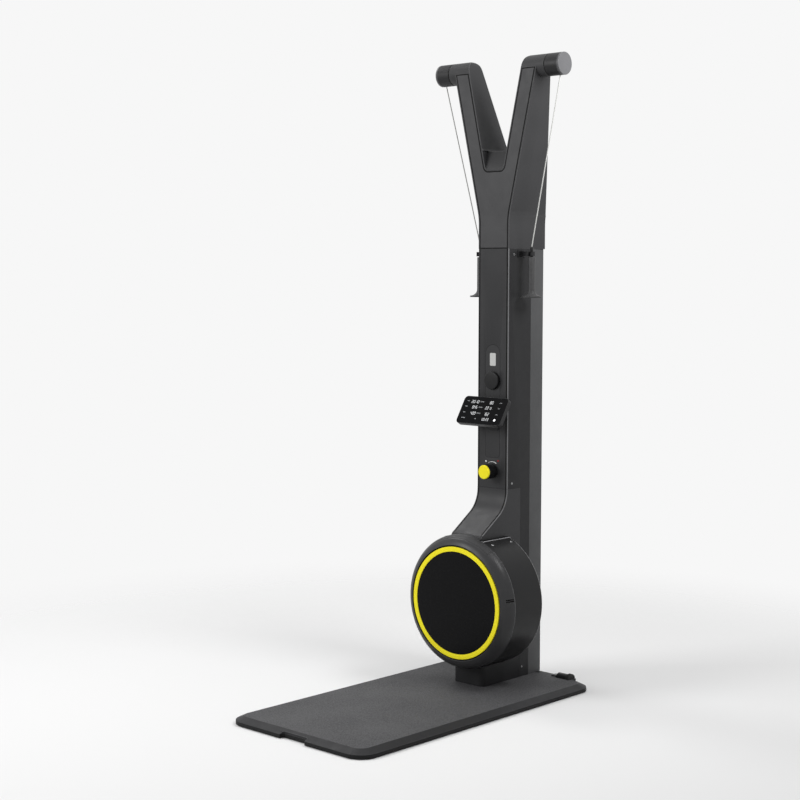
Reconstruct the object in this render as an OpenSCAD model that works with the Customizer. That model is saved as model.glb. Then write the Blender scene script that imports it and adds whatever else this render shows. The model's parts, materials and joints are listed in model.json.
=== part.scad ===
// Standing ski trainer: platform, column with a forked head, flywheel drum and two pull cords
// The front, where the user stands, faces -Y. Up is +Z. The origin is on the floor in the middle.

/* [Platform] */
// Width of the platform
deck_w = 600; // [520:10:700]
// Length of the platform
deck_l = 1140; // [1050:10:1250]
// Height of the top of the platform
deck_h = 27.5; // [25:0.5:32]
// Height of the black lower edge
edge_h = 14.3; // [12:0.1:16]
// Width of the sloped border
bevel_w = 27; // [15:1:35]
// Radius of the corners seen from above
deck_r = 62; // [50:1:90]
// Width of the hand notch in the front edge
notch_w = 110; // [90:1:130]
// Depth of the hand notch
notch_d = 15.5; // [10:0.5:20]
// Thickness of the anti-slip mat
mat_t = 2; // [1:0.5:3]
// Wall thickness of the base tray
tray_t = 3; // [2:0.5:4]
// Radius of a rubber foot
foot_r = 20; // [15:1:22]
// Height of a rubber foot
foot_h = 4; // [3.5:0.5:6]
// Clearance under the tray
tray_lift = 1.5; // [1:0.5:3]

/* [Transport wheels] */
// Radius of a wheel
wheel_r = 21.5; // [19:0.5:22]
// Width of a wheel
wheel_w = 15; // [12:1:16]
// How far a wheel stands out behind the platform
wheel_proud = 7; // [5:1:10]
// Clearance between a wheel and the floor
wheel_lift = 1; // [0.5:0.5:3]
// Distance from the platform's side to the inner face of a wheel
wheel_in = 98; // [85:1:105]
// Radius of an axle
axle_r = 4; // [3:0.5:6]
// Radius of a wheel bracket
barrel_r = 18; // [15:0.5:19]

/* [Column] */
// Width of the column
col_w = 134.9; // [128:0.1:150]
// Depth of the column
col_d = 198; // [190:1:205]
// Width of the column at its back
back_w = 125; // [115:1:130]
// Depth from the front to the crease of the sides
crease_d = 122; // [110:1:130]
// Depth of the neck cover's sides
split_d = 72; // [65:1:80]
// How far the column stands out behind the platform
col_over = 5; // [3:1:8]
// Height of the seam under the head
seam_h = 1518; // [1450:1:1560]
// Height of the seam over the neck cover
low_seam_h = 694; // [680:1:730]
// Wall thickness of the covers
cover_t = 3; // [2:0.5:4]
// Thickness of the front panels
panel_t = 4; // [3:0.5:5]
// Width of the rim beside the front panels
rim_w = 4.45; // [4:0.05:6]
// Width of the shadow gap beside the front panels
gap_w = 1.2; // [0.8:0.1:1.6]
// Width of the foot cover's rounded corner
foot_corner_r = 20; // [12:1:25]
// Depth from the foot cover's front to the column's front
foot_d = 124.5; // [115:0.5:135]

/* [Head] */
// Height of the axis of the swivels
arm_axis_h = 2124; // [2060:1:2180]
// Radius of the round arm ends
arm_r = 37.5; // [34:0.5:40]
// Height at which the sides start to lean out
splay_h = 1624; // [1610:1:1640]
// Distance from the middle to the outer face of an arm at its top
arm_out_x = 189.14; // [184:0.01:194]
// Distance from the middle to the inner face of an arm at its top
arm_in_x = 122.29; // [118:0.01:126]
// Height of the bottom of the V
v_floor_h = 1786; // [1760:1:1800]
// Height of the saddle behind the bottom of the V
v_saddle_h = 1850; // [1830:1:1870]
// Half width of the bottom of the V
v_half = 38.7; // [34:0.1:42]
// Depth of the sloped face at the bottom of the V
v_slope_d = 30; // [20:1:40]
// Height at which the back of the head starts to lean forward
lean_h = 1630; // [1600:1:1660]
// Distance from the middle to the end of a fixed arm end
arm_end_x = 208.3; // [200:0.1:215]
// Width of the gap before a swivel
groove_w = 0.6; // [0.4:0.1:1]
// Distance from the middle to the end of a swivel
swivel_end_x = 270.6; // [262:0.1:280]
// Thickness of an end cap
cap_t = 6; // [4:0.5:8]

/* [Cords and handles] */
// Radius of a cord
cord_r = 1.9; // [1.5:0.1:2.2]
// Distance from the middle to a cord where it leaves its swivel
exit_x = 251; // [246:1:253]
// Distance from the middle to a parked handle
grip_x = 114; // [110:1:125]
// Depth from the column's front to a parked handle
grip_d = 66; // [55:1:75]
// Height of the top of a handle
neck_h = 1524; // [1500:1:1540]
// Radius of a handle's neck
neck_r = 5; // [4:0.5:5.5]
// Height of the top of a grip
grip_h = 1490; // [1470:1:1492]
// Length of a grip with its pommel
grip_l = 139; // [125:1:160]
// Radius of a grip
grip_r = 11.8; // [11:0.1:14]
// Radius of a pommel
pommel_r = 36.5; // [30:0.5:38]
// Height of the top of a hook
hook_h = 1508; // [1500:1:1515]
// Thickness of a hook
hook_t = 15; // [12:1:15]
// Clearance between a neck and the sides of its hook
slot_gap = 0.7; // [0.5:0.1:1]
// Radius of the cord's path round the top pulleys
pulley_r = 14; // [12:0.5:14]
// Radius of the cord's path round the guide rollers
roller_r = 10; // [8:0.5:11]
// Radius of the cord's path on a spool
spool_r = 40; // [35:1:42]

/* [Drum] */
// Height of the flywheel's axis
drum_h = 319; // [315:1:330]
// Radius of the drum
drum_r = 229; // [224:1:229]
// Depth of the drum behind the ring housing
drum_d = 145; // [140:1:150]
// Gap between the drum and the column's front
drum_gap = 5; // [4:1:8]
// Depth of the ring housing
ring_d = 41; // [38:0.5:45]
// Radius of the ring housing at its back
ring_back_r = 230; // [229.5:0.5:232]
// Radius of the ring housing at its front
ring_front_r = 198; // [197.5:0.5:200]
// Inner radius of the ring housing at its front
ring_bore_r = 196.5; // [196:0.5:197]
// Outer radius of the yellow ring
yellow_r = 192; // [190:0.5:193]
// Width of the yellow ring
yellow_w = 16.5; // [14:0.5:18]
// Height of the drum's flat top above its axis
flat_rise = 215; // [212:1:218]
// Half width of the drum's flat top
flat_half = 88; // [80:1:95]
// Half angle of the neck cover's collar on the ring housing
collar_a = 35.5; // [32:0.5:40]

/* [Drive] */
// Radius of the flywheel's shaft
shaft_r = 8.5; // [7:0.5:10]
// Radius of the fan wheel
fan_r = 188; // [180:1:190]
// Number of fan blades
blades = 16; // [12:1:20]
// Width of the fan blades
blade_w = 50; // [40:1:55]
// Thickness of the fan wheel's disc
disc_t = 6; // [4:1:7]
// Outer radius of a bearing
bearing_r = 20; // [17:1:22]
// Width of a bearing
bearing_w = 12; // [10:1:14]
// Width of a spool
spool_w = 20; // [16:1:22]
// Radial clearance of the running fits
run_gap = 0.05; // [0.03:0.01:0.08]
// Clearance between pieces that don't touch
seat_gap = 0.3; // [0.2:0.05:0.4]

/* [Mast] */
// Width of the mast tube
mast_w = 80; // [70:1:90]
// Depth of the mast tube
mast_d = 70; // [60:1:75]
// Wall thickness of the mast tube
mast_t = 4; // [3:0.5:5]
// Height of the top of the mast tube
mast_h = 1640; // [1600:1:1660]
// Thickness of the mast's foot plate
plate_t = 8; // [6:1:10]
// Outer width of an arm tube
arm_tube_w = 30; // [26:1:32]
// Outer depth of an arm tube
arm_tube_d = 40; // [36:1:44]

/* [Display and controls] */
// Width of the display
disp_w = 196; // [180:1:210]
// Height of the display
disp_h = 105.5; // [95:0.5:115]
// Thickness of the display
disp_t = 16; // [12:1:18]
// Height of the middle of the display
disp_mid_h = 966; // [950:1:980]
// Distance from the column's front to the middle of the display
disp_off = 55.25; // [52:0.25:60]
// Lean of the display from upright
disp_tilt = 31.7; // [25:0.1:38]
// Radius of the display's corners
disp_r = 14; // [10:1:18]
// Thickness of the display's glass
glass_t = 2.5; // [2:0.5:3]
// Radius of the knob
knob_r = 25; // [22:0.5:28]
// Height of the knob's axis
knob_h = 753; // [745:1:765]
// Distance from the column's front to the end of the knob
knob_l = 47; // [40:1:52]
// Thickness of the knob's yellow cap
knob_cap_t = 6; // [4:0.5:8]
// Radius of the reader disc
reader_r = 31; // [28:1:34]
// Height of the middle of the reader disc
reader_h = 1066.5; // [1060:0.5:1080]
// Thickness of the reader disc
reader_t = 11; // [8:0.5:14]
// Width of the control strip
strip_w = 64; // [60:1:70]
// Height of the bottom of the control strip
strip_low_h = 800; // [790:1:805]
// Height of the top of the control strip
strip_top_h = 1190; // [1150:1:1220]
// Thickness of the control strip
strip_t = 2; // [1:0.5:2.5]

/* [Hidden] */
$fn = 72;

// Platform and column places
deck_front = -(deck_l + wheel_proud) / 2;
deck_back = deck_front + deck_l;
deck_hw = deck_w / 2;
top_hw = deck_hw - bevel_w;
col_back = deck_back + col_over;
col_front = col_back - col_d;
col_hw = col_w / 2;
back_hw = back_w / 2;
crease_y = col_front + crease_d;
split_y = col_front + split_d;
foot_front = col_front - foot_d;
rim_x = col_hw - rim_w;
panel_hw = rim_x - gap_w;
ledge_w = 6;
panel_back = col_front + panel_t;
edge_r = 3;
corner_r = 5;

// Wheel places
wheel_x = deck_hw - wheel_in;
wheel_y = deck_back + wheel_proud - wheel_r;
wheel_z = wheel_r + wheel_lift;
wheel_gap = 3;
bracket_x = wheel_x - 42;
ear_w = 23;
ear_t = 3.5;
shelf_hw = wheel_x + wheel_w + wheel_gap + 4;

// Drum places
drum_back = col_front - drum_gap;
drum_front = drum_back - drum_d;
ring_front = drum_front - ring_d;
flat_z = drum_h + flat_rise;
drum_t = 3;
flare_r = (pow(ring_back_r - ring_front_r, 2) + pow(ring_d, 2)) / (2 * (ring_back_r - ring_front_r));
flange_y = ring_front + 13.5;
channel_d = 5.5;

// Mast places
mast_back = col_back - cover_t - 14.5;
mast_front = mast_back - mast_d;
foot_plate_z = edge_h + plate_t;

// Head places
arm_y = col_front + arm_r;
arm_top = arm_axis_h + arm_r;
splay_out = (arm_out_x - col_hw) / (arm_top - splay_h);
splay_in = (arm_in_x - v_half) / (arm_top - v_floor_h);
lean_vec = [arm_y - col_back, arm_axis_h - lean_h];
lean_a = atan2(lean_vec.y, lean_vec.x) - asin(arm_r / norm(lean_vec)) - 90;
splay_r = 215;
v_r = 16;
arm_top_r = 18;
panel_top = arm_axis_h - 6;
swivel_x = arm_end_x + groove_w;
sleeve_r = 14;
sleeve_bore_r = 8;
sleeve_end = swivel_x + 10;

// Half width of cutting shapes that pass right through the head, in whole hundreds
wide = 100 * ceil(swivel_end_x / 100);

// Cord places
grip_y = col_front + grip_d;
pulley_x = exit_x - pulley_r;
pulley_z = arm_axis_h - pulley_r;
exit_z = arm_axis_h - arm_r;
roller_z = v_floor_h - 141;
arm_mid_x = (outer_x(pulley_z) + inner_x(pulley_z)) / 2;
lean_out = (arm_mid_x - spool_r) / (pulley_z - roller_z);
splay_a = atan(lean_out);
arm_pulley_x = arm_mid(pulley_z) + pulley_r / cos(splay_a);
roller_x = spool_r + roller_r;
pulley_w = 9;
flange_h = 2.2;

// Drive places
fan_y = drum_front + 76.5;
bearing_front = drum_back;
frame_t = 6;
frame_hw = 58;
frame_rise = 70;
can_y = drum_back + frame_t;
can_l = 13.5;
can_back = mast_front - frame_t - can_l;
right_spool_y = can_y + can_l + 1;
left_spool_y = can_back - 1 - spool_w;
spool_flange_r = spool_r + 8;
blade_in = 64;
blade_out = fan_r - 25;
pivot_r = 207;
pivot_a = 60;
pivot_x = pivot_r * cos(pivot_a);
pivot_z = drum_h + pivot_r * sin(pivot_a);
pin_r = 4;

// Display places
disp_y = col_front - disp_off;
hinge_drop = 8;
hinge_back = disp_t + 12;
hinge_y = disp_y + hinge_back * cos(disp_tilt) - hinge_drop * sin(disp_tilt);
hinge_z = disp_mid_h - hinge_back * sin(disp_tilt) - hinge_drop * cos(disp_tilt);

// Distance from the middle to the outer and inner face of an arm, and to the cord's line inside it
function outer_x(z) = col_hw + splay_out * (z - splay_h);
function inner_x(z) = v_half + splay_in * (z - v_floor_h);
function arm_mid(z) = arm_mid_x + lean_out * (z - pulley_z);

// Outline points with each corner rounded to its third value
function unit(v) = v / norm(v);
function corner(a, b, c, r, n) =
    r <= 0 ? [[b.x, b.y]] :
    let (u = unit([a.x - b.x, a.y - b.y]), v = unit([c.x - b.x, c.y - b.y]))
    let (half = acos(u * v) / 2, middle = [b.x, b.y] + unit(u + v) * r / sin(half))
    let (from = [b.x, b.y] + u * r / tan(half) - middle, to = [b.x, b.y] + v * r / tan(half) - middle)
    let (a0 = atan2(from.y, from.x), turn = (atan2(to.y, to.x) - a0 + 540) % 360 - 180)
    [for (i = [0:n]) middle + r * [cos(a0 + turn * i / n), sin(a0 + turn * i / n)]];
function rounded(p, n = 8) =
    [for (i = [0:len(p) - 1])
        each corner(p[(i + len(p) - 1) % len(p)], p[i], p[(i + 1) % len(p)], p[i][2], n)];
function plate_points(hw, y0, y1, r) =
    rounded([[hw, y0, r], [hw, y1, r], [-hw, y1, r], [-hw, y0, r]]);
function arc(c, r, a0, a1, n) =
    [for (i = [0:n]) c + r * [cos(a0 + (a1 - a0) * i / n), sin(a0 + (a1 - a0) * i / n)]];

// Solid between two heights, with a plan outline
module slab(points, z0, z1) {
    translate([0, 0, z0]) linear_extrude(z1 - z0) polygon(points);
}

// Solid between two depths, with an outline seen from the front
module front_prism(y0, y1) {
    translate([0, y1, 0]) rotate([90, 0, 0]) linear_extrude(y1 - y0) children();
}

// Solid between two sideways places, with an outline seen from the side
module side_prism(x0, x1) {
    translate([x0, 0, 0]) rotate([90, 0, 90]) linear_extrude(x1 - x0) children();
}

// Box between two corners
module box(low, high) {
    translate(low) cube(high - low);
}

// Round shapes about an axis along the depth, where the profile is [radius, depth]
module about_depth(x, z) {
    translate([x, 0, z]) rotate([-90, 0, 0]) children();
}
module sector_about_depth(a0, a1) {
    about_depth(0, drum_h) rotate([0, 0, -a1]) rotate_extrude(angle = a1 - a0) children();
}
module rod_y(x, z, r, y0, y1) {
    translate([x, y1, z]) rotate([90, 0, 0]) cylinder(r = r, h = y1 - y0);
}
module rod_x(y, z, r, x0, x1) {
    translate([x0, y, z]) rotate([0, 90, 0]) cylinder(r = r, h = x1 - x0);
}
module both_sides() {
    children();
    mirror([1, 0, 0]) children();
}

// Round tube through a list of points
function across(d) = unit(cross(d, abs(d.y) < 0.9 ? [0, 1, 0] : [1, 0, 0]));
function heading(p, i) = unit(p[min(i + 1, len(p) - 1)] - p[max(i - 1, 0)]);
module tube(p, r, sides = 8) {
    rings = [for (i = [0:len(p) - 1])
        let (d = heading(p, i), u = across(d), v = cross(d, u))
        for (k = [0:sides - 1]) p[i] + r * (u * cos(360 * k / sides) + v * sin(360 * k / sides))];
    walls = [for (i = [0:len(p) - 2]) for (k = [0:sides - 1])
        let (a = i * sides + k, b = i * sides + (k + 1) % sides)
        each [[a, b, b + sides], [a, b + sides, a + sides]]];
    first = [for (k = [sides - 1:-1:0]) k];
    last = [for (k = [0:sides - 1]) (len(p) - 1) * sides + k];
    polyhedron(points = rings, faces = concat([first], walls, [last]), convexity = 4);
}

// Platform
module wheel_slots() {
    both_sides() box([bracket_x - 1, wheel_y - wheel_r - wheel_gap, -1],
        [wheel_x + wheel_w + wheel_gap, deck_back + 1, deck_h + 1]);
}
module hand_notch() {
    slab(plate_points(notch_w / 2, deck_front - 20, deck_front + notch_d, 6), -1, deck_h + 1);
}
module base_tray() {
    columns = 3;
    rows = 6;
    rib = 8;
    rim = 24;
    rear_rim = 44;
    pitch_x = (deck_w - 2 * rim) / columns;
    pitch_y = (deck_l - rim - rear_rim) / rows;
    color([0.06, 0.06, 0.06]) difference() {
        slab(plate_points(deck_hw, deck_front, deck_back, deck_r), tray_lift, edge_h);
        difference() {
            for (i = [0:columns - 1], j = [0:rows - 1])
                translate([-deck_hw + rim + i * pitch_x + rib / 2, deck_front + rim + j * pitch_y + rib / 2, 0])
                    cube([pitch_x - rib, pitch_y - rib, edge_h - tray_t]);
            foot_places() cylinder(r = foot_r + 5, h = edge_h);
        }
        foot_places() cylinder(r = foot_r + seat_gap, h = foot_h);
        hand_notch();
        wheel_slots();
    }
}
module foot_places() {
    for (x = [-deck_hw + 52, deck_hw - 52], y = [deck_front + 75, deck_front + deck_l / 2, deck_back - 85])
        translate([x, y, 0]) children();
}
module rubber_feet() {
    color([0.03, 0.03, 0.03]) foot_places() cylinder(r = foot_r, h = foot_h);
}
module bevelled_cover() {
    cone = [[0, edge_h], [deck_r, edge_h], [deck_r - bevel_w, deck_h], [0, deck_h]];
    x = deck_hw - deck_r;
    y0 = deck_front + deck_r;
    y1 = deck_back - deck_r;
    for (c = [[x, y1, 0], [-x, y1, 90], [-x, y0, 180], [x, y0, 270]])
        translate([c.x, c.y, 0]) rotate([0, 0, c.z]) rotate_extrude(angle = 90) polygon(cone);
    front_prism(y0, y1)
        polygon([[-deck_hw, edge_h], [deck_hw, edge_h], [top_hw, deck_h], [-top_hw, deck_h]]);
    side_prism(-x, x) polygon([[deck_front, edge_h], [deck_back, edge_h],
        [deck_back - bevel_w, deck_h], [deck_front + bevel_w, deck_h]]);
}
module deck_cover() {
    color([0.22, 0.22, 0.22]) difference() {
        union() {
            bevelled_cover();
            box([-shelf_hw, deck_back - bevel_w - 1, edge_h], [shelf_hw, deck_back, deck_h]);
        }
        slab(mat_outline(0), deck_h - mat_t, deck_h + 1);
        box([-col_hw + 5, foot_front + 5, edge_h - 1], [col_hw - 5, mast_back + 6, deck_h + 1]);
        hand_notch();
        wheel_slots();
    }
}
function mat_outline(gap) = plate_points(top_hw - 1 - gap, deck_front + bevel_w + 1 + gap,
    deck_back - bevel_w - 1 - gap, deck_r - bevel_w - 1 - gap);
module deck_mat() {
    color([0.17, 0.17, 0.17]) difference() {
        slab(mat_outline(seat_gap), deck_h - mat_t, deck_h);
        box([-col_hw + 5, foot_front + 5, 0], [col_hw - 5, deck_back, deck_h + 1]);
        wheel_slots();
    }
}

// Transport wheels
module wheel_brackets() {
    color([0.05, 0.05, 0.05]) both_sides() union() {
        rod_x(wheel_y, wheel_z, barrel_r, bracket_x, wheel_x - 1);
        box([bracket_x - ear_w, wheel_y - 14, deck_h], [bracket_x + 4, deck_back - 1, deck_h + ear_t]);
        rod_x(wheel_y, wheel_z, axle_r, wheel_x - 2, wheel_x + wheel_w + 1);
        rod_x(wheel_y, wheel_z, axle_r + 3, wheel_x + wheel_w + 0.5, wheel_x + wheel_w + 2);
    }
}
module wheel() {
    color([0.04, 0.04, 0.04]) translate([wheel_x, wheel_y, wheel_z]) rotate([0, 90, 0])
        rotate_extrude() polygon(rounded([[axle_r + run_gap, 0, 0], [wheel_r - 8, 0, 0],
            [wheel_r, 1, 2], [wheel_r, wheel_w - 1, 2], [wheel_r - 8, wheel_w, 0],
            [axle_r + run_gap, wheel_w, 0]], 4));
}
module right_wheel() { wheel(); }
module left_wheel() { mirror([1, 0, 0]) wheel(); }

// Steel mast, arms and drive frame
module mast_foot() {
    gusset_t = 5;
    color([0.2, 0.2, 0.2]) union() {
        box([-col_hw + 8, foot_front + 8, edge_h], [col_hw - 8, mast_back + 4, foot_plate_z]);
        both_sides() side_prism(mast_w / 2, mast_w / 2 + gusset_t)
            polygon([[foot_front + 13, foot_plate_z - 1], [mast_back - 14, foot_plate_z - 1],
                [mast_back - 14, drum_h - 84], [mast_front + 2, drum_h - 84],
                [drum_back + 16, drum_h - drum_r - 6]]);
    }
}
module mast_tube() {
    color([0.2, 0.2, 0.2]) difference() {
        box([-mast_w / 2, mast_front, foot_plate_z], [mast_w / 2, mast_back, mast_h]);
        box([-mast_w / 2 + mast_t, mast_front + mast_t, 0],
            [mast_w / 2 - mast_t, mast_back - mast_t, mast_h + 1]);
    }
}
module arm_tube(w, d, z0, z1) {
    slant = [[arm_mid(z0) - w / 2, z0], [arm_mid(z0) + w / 2, z0],
        [arm_mid(z1) + w / 2, z1], [arm_mid(z1) - w / 2, z1]];
    front_prism(arm_y - d / 2, arm_y + d / 2) polygon(slant);
}
module arm_frame() {
    tube_low = roller_z + 35;
    tube_top = pulley_z - 52;
    wall = 3;
    yoke_y = arm_y + arm_tube_d / 2;
    yoke_t = 15;
    block_x = arm_pulley_x + pulley_r + flange_h + 4;
    cheek = [[arm_mid(tube_top - 20) - 12, tube_top - 20], [arm_mid(tube_top - 20) + 14, tube_top - 20],
        [outer_x(arm_axis_h - 24) - 11, arm_axis_h - 24],
        [block_x + 10, arm_axis_h - 15], [block_x + 10, arm_axis_h + 15],
        [arm_pulley_x - 10, arm_axis_h + 15], [arm_mid(tube_top) - 12, tube_top + 30]];
    color([0.2, 0.2, 0.2]) union() {
        both_sides() {
            difference() {
                union() {
                    arm_tube(arm_tube_w, arm_tube_d, tube_low, tube_top);
                    front_prism(arm_y - arm_tube_d / 2, arm_y - arm_tube_d / 2 + 5) polygon(cheek);
                    front_prism(arm_y + arm_tube_d / 2 - 5, arm_y + arm_tube_d / 2) polygon(cheek);
                    box([block_x, arm_y - arm_tube_d / 2, arm_axis_h - 15],
                        [block_x + 10, arm_y + arm_tube_d / 2, arm_axis_h + 15]);
                    rod_x(arm_y, arm_axis_h, sleeve_r, block_x, sleeve_end);
                }
                arm_tube(arm_tube_w - 2 * wall, arm_tube_d - 2 * wall, tube_low - 1, tube_top + 1);
                rod_x(arm_y, arm_axis_h, sleeve_bore_r, block_x - 1, sleeve_end + 1);
            }
            rod_y(arm_pulley_x, pulley_z, 3, arm_y - arm_tube_d / 2 + 1, arm_y + arm_tube_d / 2 - 1);
            rod_y(roller_x, roller_z, 3, arm_y - pulley_w / 2 - 2, yoke_y + 1);
        }
        front_prism(yoke_y, yoke_y + yoke_t) polygon([[-45, mast_h - 100], [45, mast_h - 100],
            [52, roller_z], [arm_mid(v_floor_h - 20) + 15, v_floor_h - 20],
            [-arm_mid(v_floor_h - 20) - 15, v_floor_h - 20], [-52, roller_z]]);
        box([-40, yoke_y + 1, mast_h - 100], [40, mast_front, mast_h - 10]);
    }
}
module drive_frame() {
    color([0.25, 0.25, 0.25]) difference() {
        union() {
            box([-frame_hw, drum_back, drum_h - frame_rise], [frame_hw, drum_back + frame_t, drum_h + frame_rise]);
            box([-frame_hw, mast_front - frame_t, drum_h - frame_rise], [frame_hw, mast_front, drum_h + frame_rise]);
            both_sides() difference() {
                box([frame_hw - 4, drum_back + 1, drum_h - frame_rise],
                    [frame_hw, mast_front - 1, drum_h + frame_rise]);
                box([frame_hw - 5, drum_back + 22, drum_h - frame_rise + 15],
                    [frame_hw + 1, mast_front - 22, drum_h + frame_rise - 15]);
            }
            rod_y(0, drum_h, bearing_r + 4, drum_back, drum_back + bearing_w);
            rod_y(0, drum_h, bearing_r + 4, mast_front - bearing_w, mast_front);
        }
        rod_y(0, drum_h, bearing_r + 0.02, drum_back - 1, drum_back + bearing_w + 1);
        rod_y(0, drum_h, bearing_r + 0.02, mast_front - bearing_w - 1, mast_front + 1);
    }
}

// Covers of the column
module side_cover() {
    back_of_ledge = panel_back + cover_t;
    section = concat([[rim_x, col_front]],
        corner([rim_x, col_front], [col_hw, col_front], [col_hw, crease_y], edge_r, 5),
        [[col_hw, crease_y], [col_hw - cover_t, crease_y], [col_hw - cover_t, back_of_ledge],
            [rim_x - ledge_w, back_of_ledge], [rim_x - ledge_w, panel_back], [rim_x, panel_back]]);
    color([0.2, 0.2, 0.2]) difference() {
        slab(section, deck_h, seam_h);
        box([0, col_front - 1, 0], [col_w, split_y, low_seam_h]);
    }
}
module right_side_cover() { side_cover(); }
module left_side_cover() { mirror([1, 0, 0]) side_cover(); }
module column_front_panel() {
    color([0.23, 0.23, 0.23]) difference() {
        box([-panel_hw, col_front, low_seam_h + seat_gap], [panel_hw, panel_back, seam_h]);
        front_prism(col_front - 1, col_front + strip_t) strip_outline(seat_gap);
        rod_y(0, knob_h, shaft_hole_r, col_front - 1, panel_back + 1);
    }
}
shaft_hole_r = 5 + run_gap;
module strip_outline(gap) {
    r = strip_w / 2 + gap;
    polygon(rounded([[r, strip_low_h - gap, 12], [r, strip_top_h + gap, r - 1],
        [-r, strip_top_h + gap, r - 1], [-r, strip_low_h - gap, 12]]));
}
module control_strip() {
    color([0.2, 0.2, 0.2]) front_prism(col_front, col_front + strip_t) strip_outline(0);
}
module rear_cover() {
    t = cover_t;
    color([0.28, 0.28, 0.28]) slab(concat(
        [[col_hw, crease_y]],
        corner([col_hw, crease_y], [back_hw, col_back], [-back_hw, col_back], corner_r, 5),
        corner([back_hw, col_back], [-back_hw, col_back], [-col_hw, crease_y], corner_r, 5),
        [[-col_hw, crease_y], [-col_hw + t, crease_y], [-back_hw + t, col_back - t],
            [back_hw - t, col_back - t], [col_hw - t, crease_y]]), deck_h, seam_h);
}
module foot_cover() {
    top = drum_h - 19;
    hw = col_hw;
    t = cover_t;
    r = foot_corner_r;
    outline = rounded([[hw, split_y - seat_gap, 0], [hw, foot_front, r], [-hw, foot_front, r],
        [-hw, split_y - seat_gap, 0], [-hw + t, split_y - seat_gap, 0], [-hw + t, foot_front + t, r - t],
        [hw - t, foot_front + t, r - t], [hw - t, split_y - seat_gap, 0]]);
    color([0.13, 0.13, 0.13]) difference() {
        slab(outline, deck_h, top);
        rod_y(0, drum_h, ring_back_r + 1, foot_front - 30, drum_back + seat_gap);
    }
}

// Neck cover, which sweeps from the column over the drum to the ring housing
function neck_points() = let (f = col_front, b = drum_back + seat_gap, s = split_y - seat_gap)
    concat([[s, low_seam_h]],
        rounded([[f, low_seam_h, 0], [f, low_seam_h - 55.5, 98], [f - 135.5, flat_z + 10.5, 22],
            [f - 136.5, flat_z + seat_gap, 0]], 14),
        [[b, flat_z + seat_gap], [b, drum_h - 19 + seat_gap], [s, drum_h - 19 + seat_gap]]);
module neck_profile(inset) {
    offset(delta = -inset) polygon(neck_points());
}
module neck_cover() {
    in_x = col_hw - cover_t;
    color([0.27, 0.27, 0.27]) union() {
        difference() {
            side_prism(-col_hw, col_hw) polygon(neck_points());
            side_prism(-in_x, in_x) union() {
                neck_profile(cover_t);
                polygon([[split_y - 20, drum_h - 30], [split_y + 1, drum_h - 30],
                    [split_y + 1, low_seam_h + 1], [col_front + cover_t, low_seam_h + 1],
                    [col_front + cover_t, low_seam_h - 30], [split_y - 20, low_seam_h - 60]]);
                polygon([[col_front - 121, flat_z - 1], [drum_back - 1, flat_z - 1],
                    [drum_back - 1, drum_h - 30], [split_y - 10, drum_h - 30],
                    [split_y - 10, flat_z + 12], [col_front - 121, flat_z + 12]]);
            }
            both_sides() side_prism(panel_hw, rim_x) difference() {
                neck_profile(-1);
                neck_profile(gap_w);
                translate([drum_back - 2, 0]) square([200, low_seam_h - 100]);
                translate([col_front + 2, 0]) square([200, low_seam_h + 2]);
                square([col_back, flat_z + 5]);
            }
        }
        sector_about_depth(90 - collar_a, 90 + collar_a)
            polygon(concat(flare_arc(collar_y, drum_front, 0), [for (p = flare_arc_back()) p]));
        intersection() {
            sector_about_depth(70, 110)
                translate([ring_back_r - drum_t + 0.15, drum_front - 3]) square([drum_t - 0.3, 26.5]);
            box([-col_hw + 0.4, 0, drum_h], [col_hw - 0.4, col_front, low_seam_h]);
        }
    }
}

// Drum and ring housing
collar_y = ring_front + 14.5;
function flare_at(y) = ring_back_r - flare_r + sqrt(pow(flare_r, 2) - pow(drum_front - y, 2));
function flare_arc(y0, y1, inset) =
    let (c = [ring_back_r - flare_r, drum_front], r = flare_r - inset)
    arc(c, r, -asin((drum_front - y0) / flare_r), -asin((drum_front - y1) / flare_r), 8);
function flare_arc_back() = let (p = flare_arc(collar_y, drum_front, drum_t))
    [for (i = [len(p) - 1:-1:0]) p[i]];
module drum_housing() {
    color([0.07, 0.07, 0.07]) difference() {
        union() {
            intersection() {
                rod_y(0, drum_h, drum_r, drum_front, drum_back);
                box([-drum_r - 1, drum_front - 1, drum_h - drum_r - 1], [drum_r + 1, drum_back + 1, flat_z]);
            }
            box([-flat_half, drum_front + 2, flat_z - 30], [flat_half, drum_back, flat_z]);
        }
        intersection() {
            rod_y(0, drum_h, drum_r - drum_t, drum_front - 1, drum_back - drum_t);
            box([-drum_r, drum_front - 2, drum_h - drum_r], [drum_r, drum_back, flat_z - drum_t]);
        }
        rod_y(0, drum_h, bearing_r + 4, drum_back - drum_t - 1, drum_back + 1);
    }
    color([0.07, 0.07, 0.07]) {
        rod_y(pivot_x, pivot_z, 9, fan_y + disc_t + 25, drum_back - drum_t);
        rod_y(pivot_x, pivot_z, pin_r, fan_y - 14, fan_y + disc_t + 26);
    }
}
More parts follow.
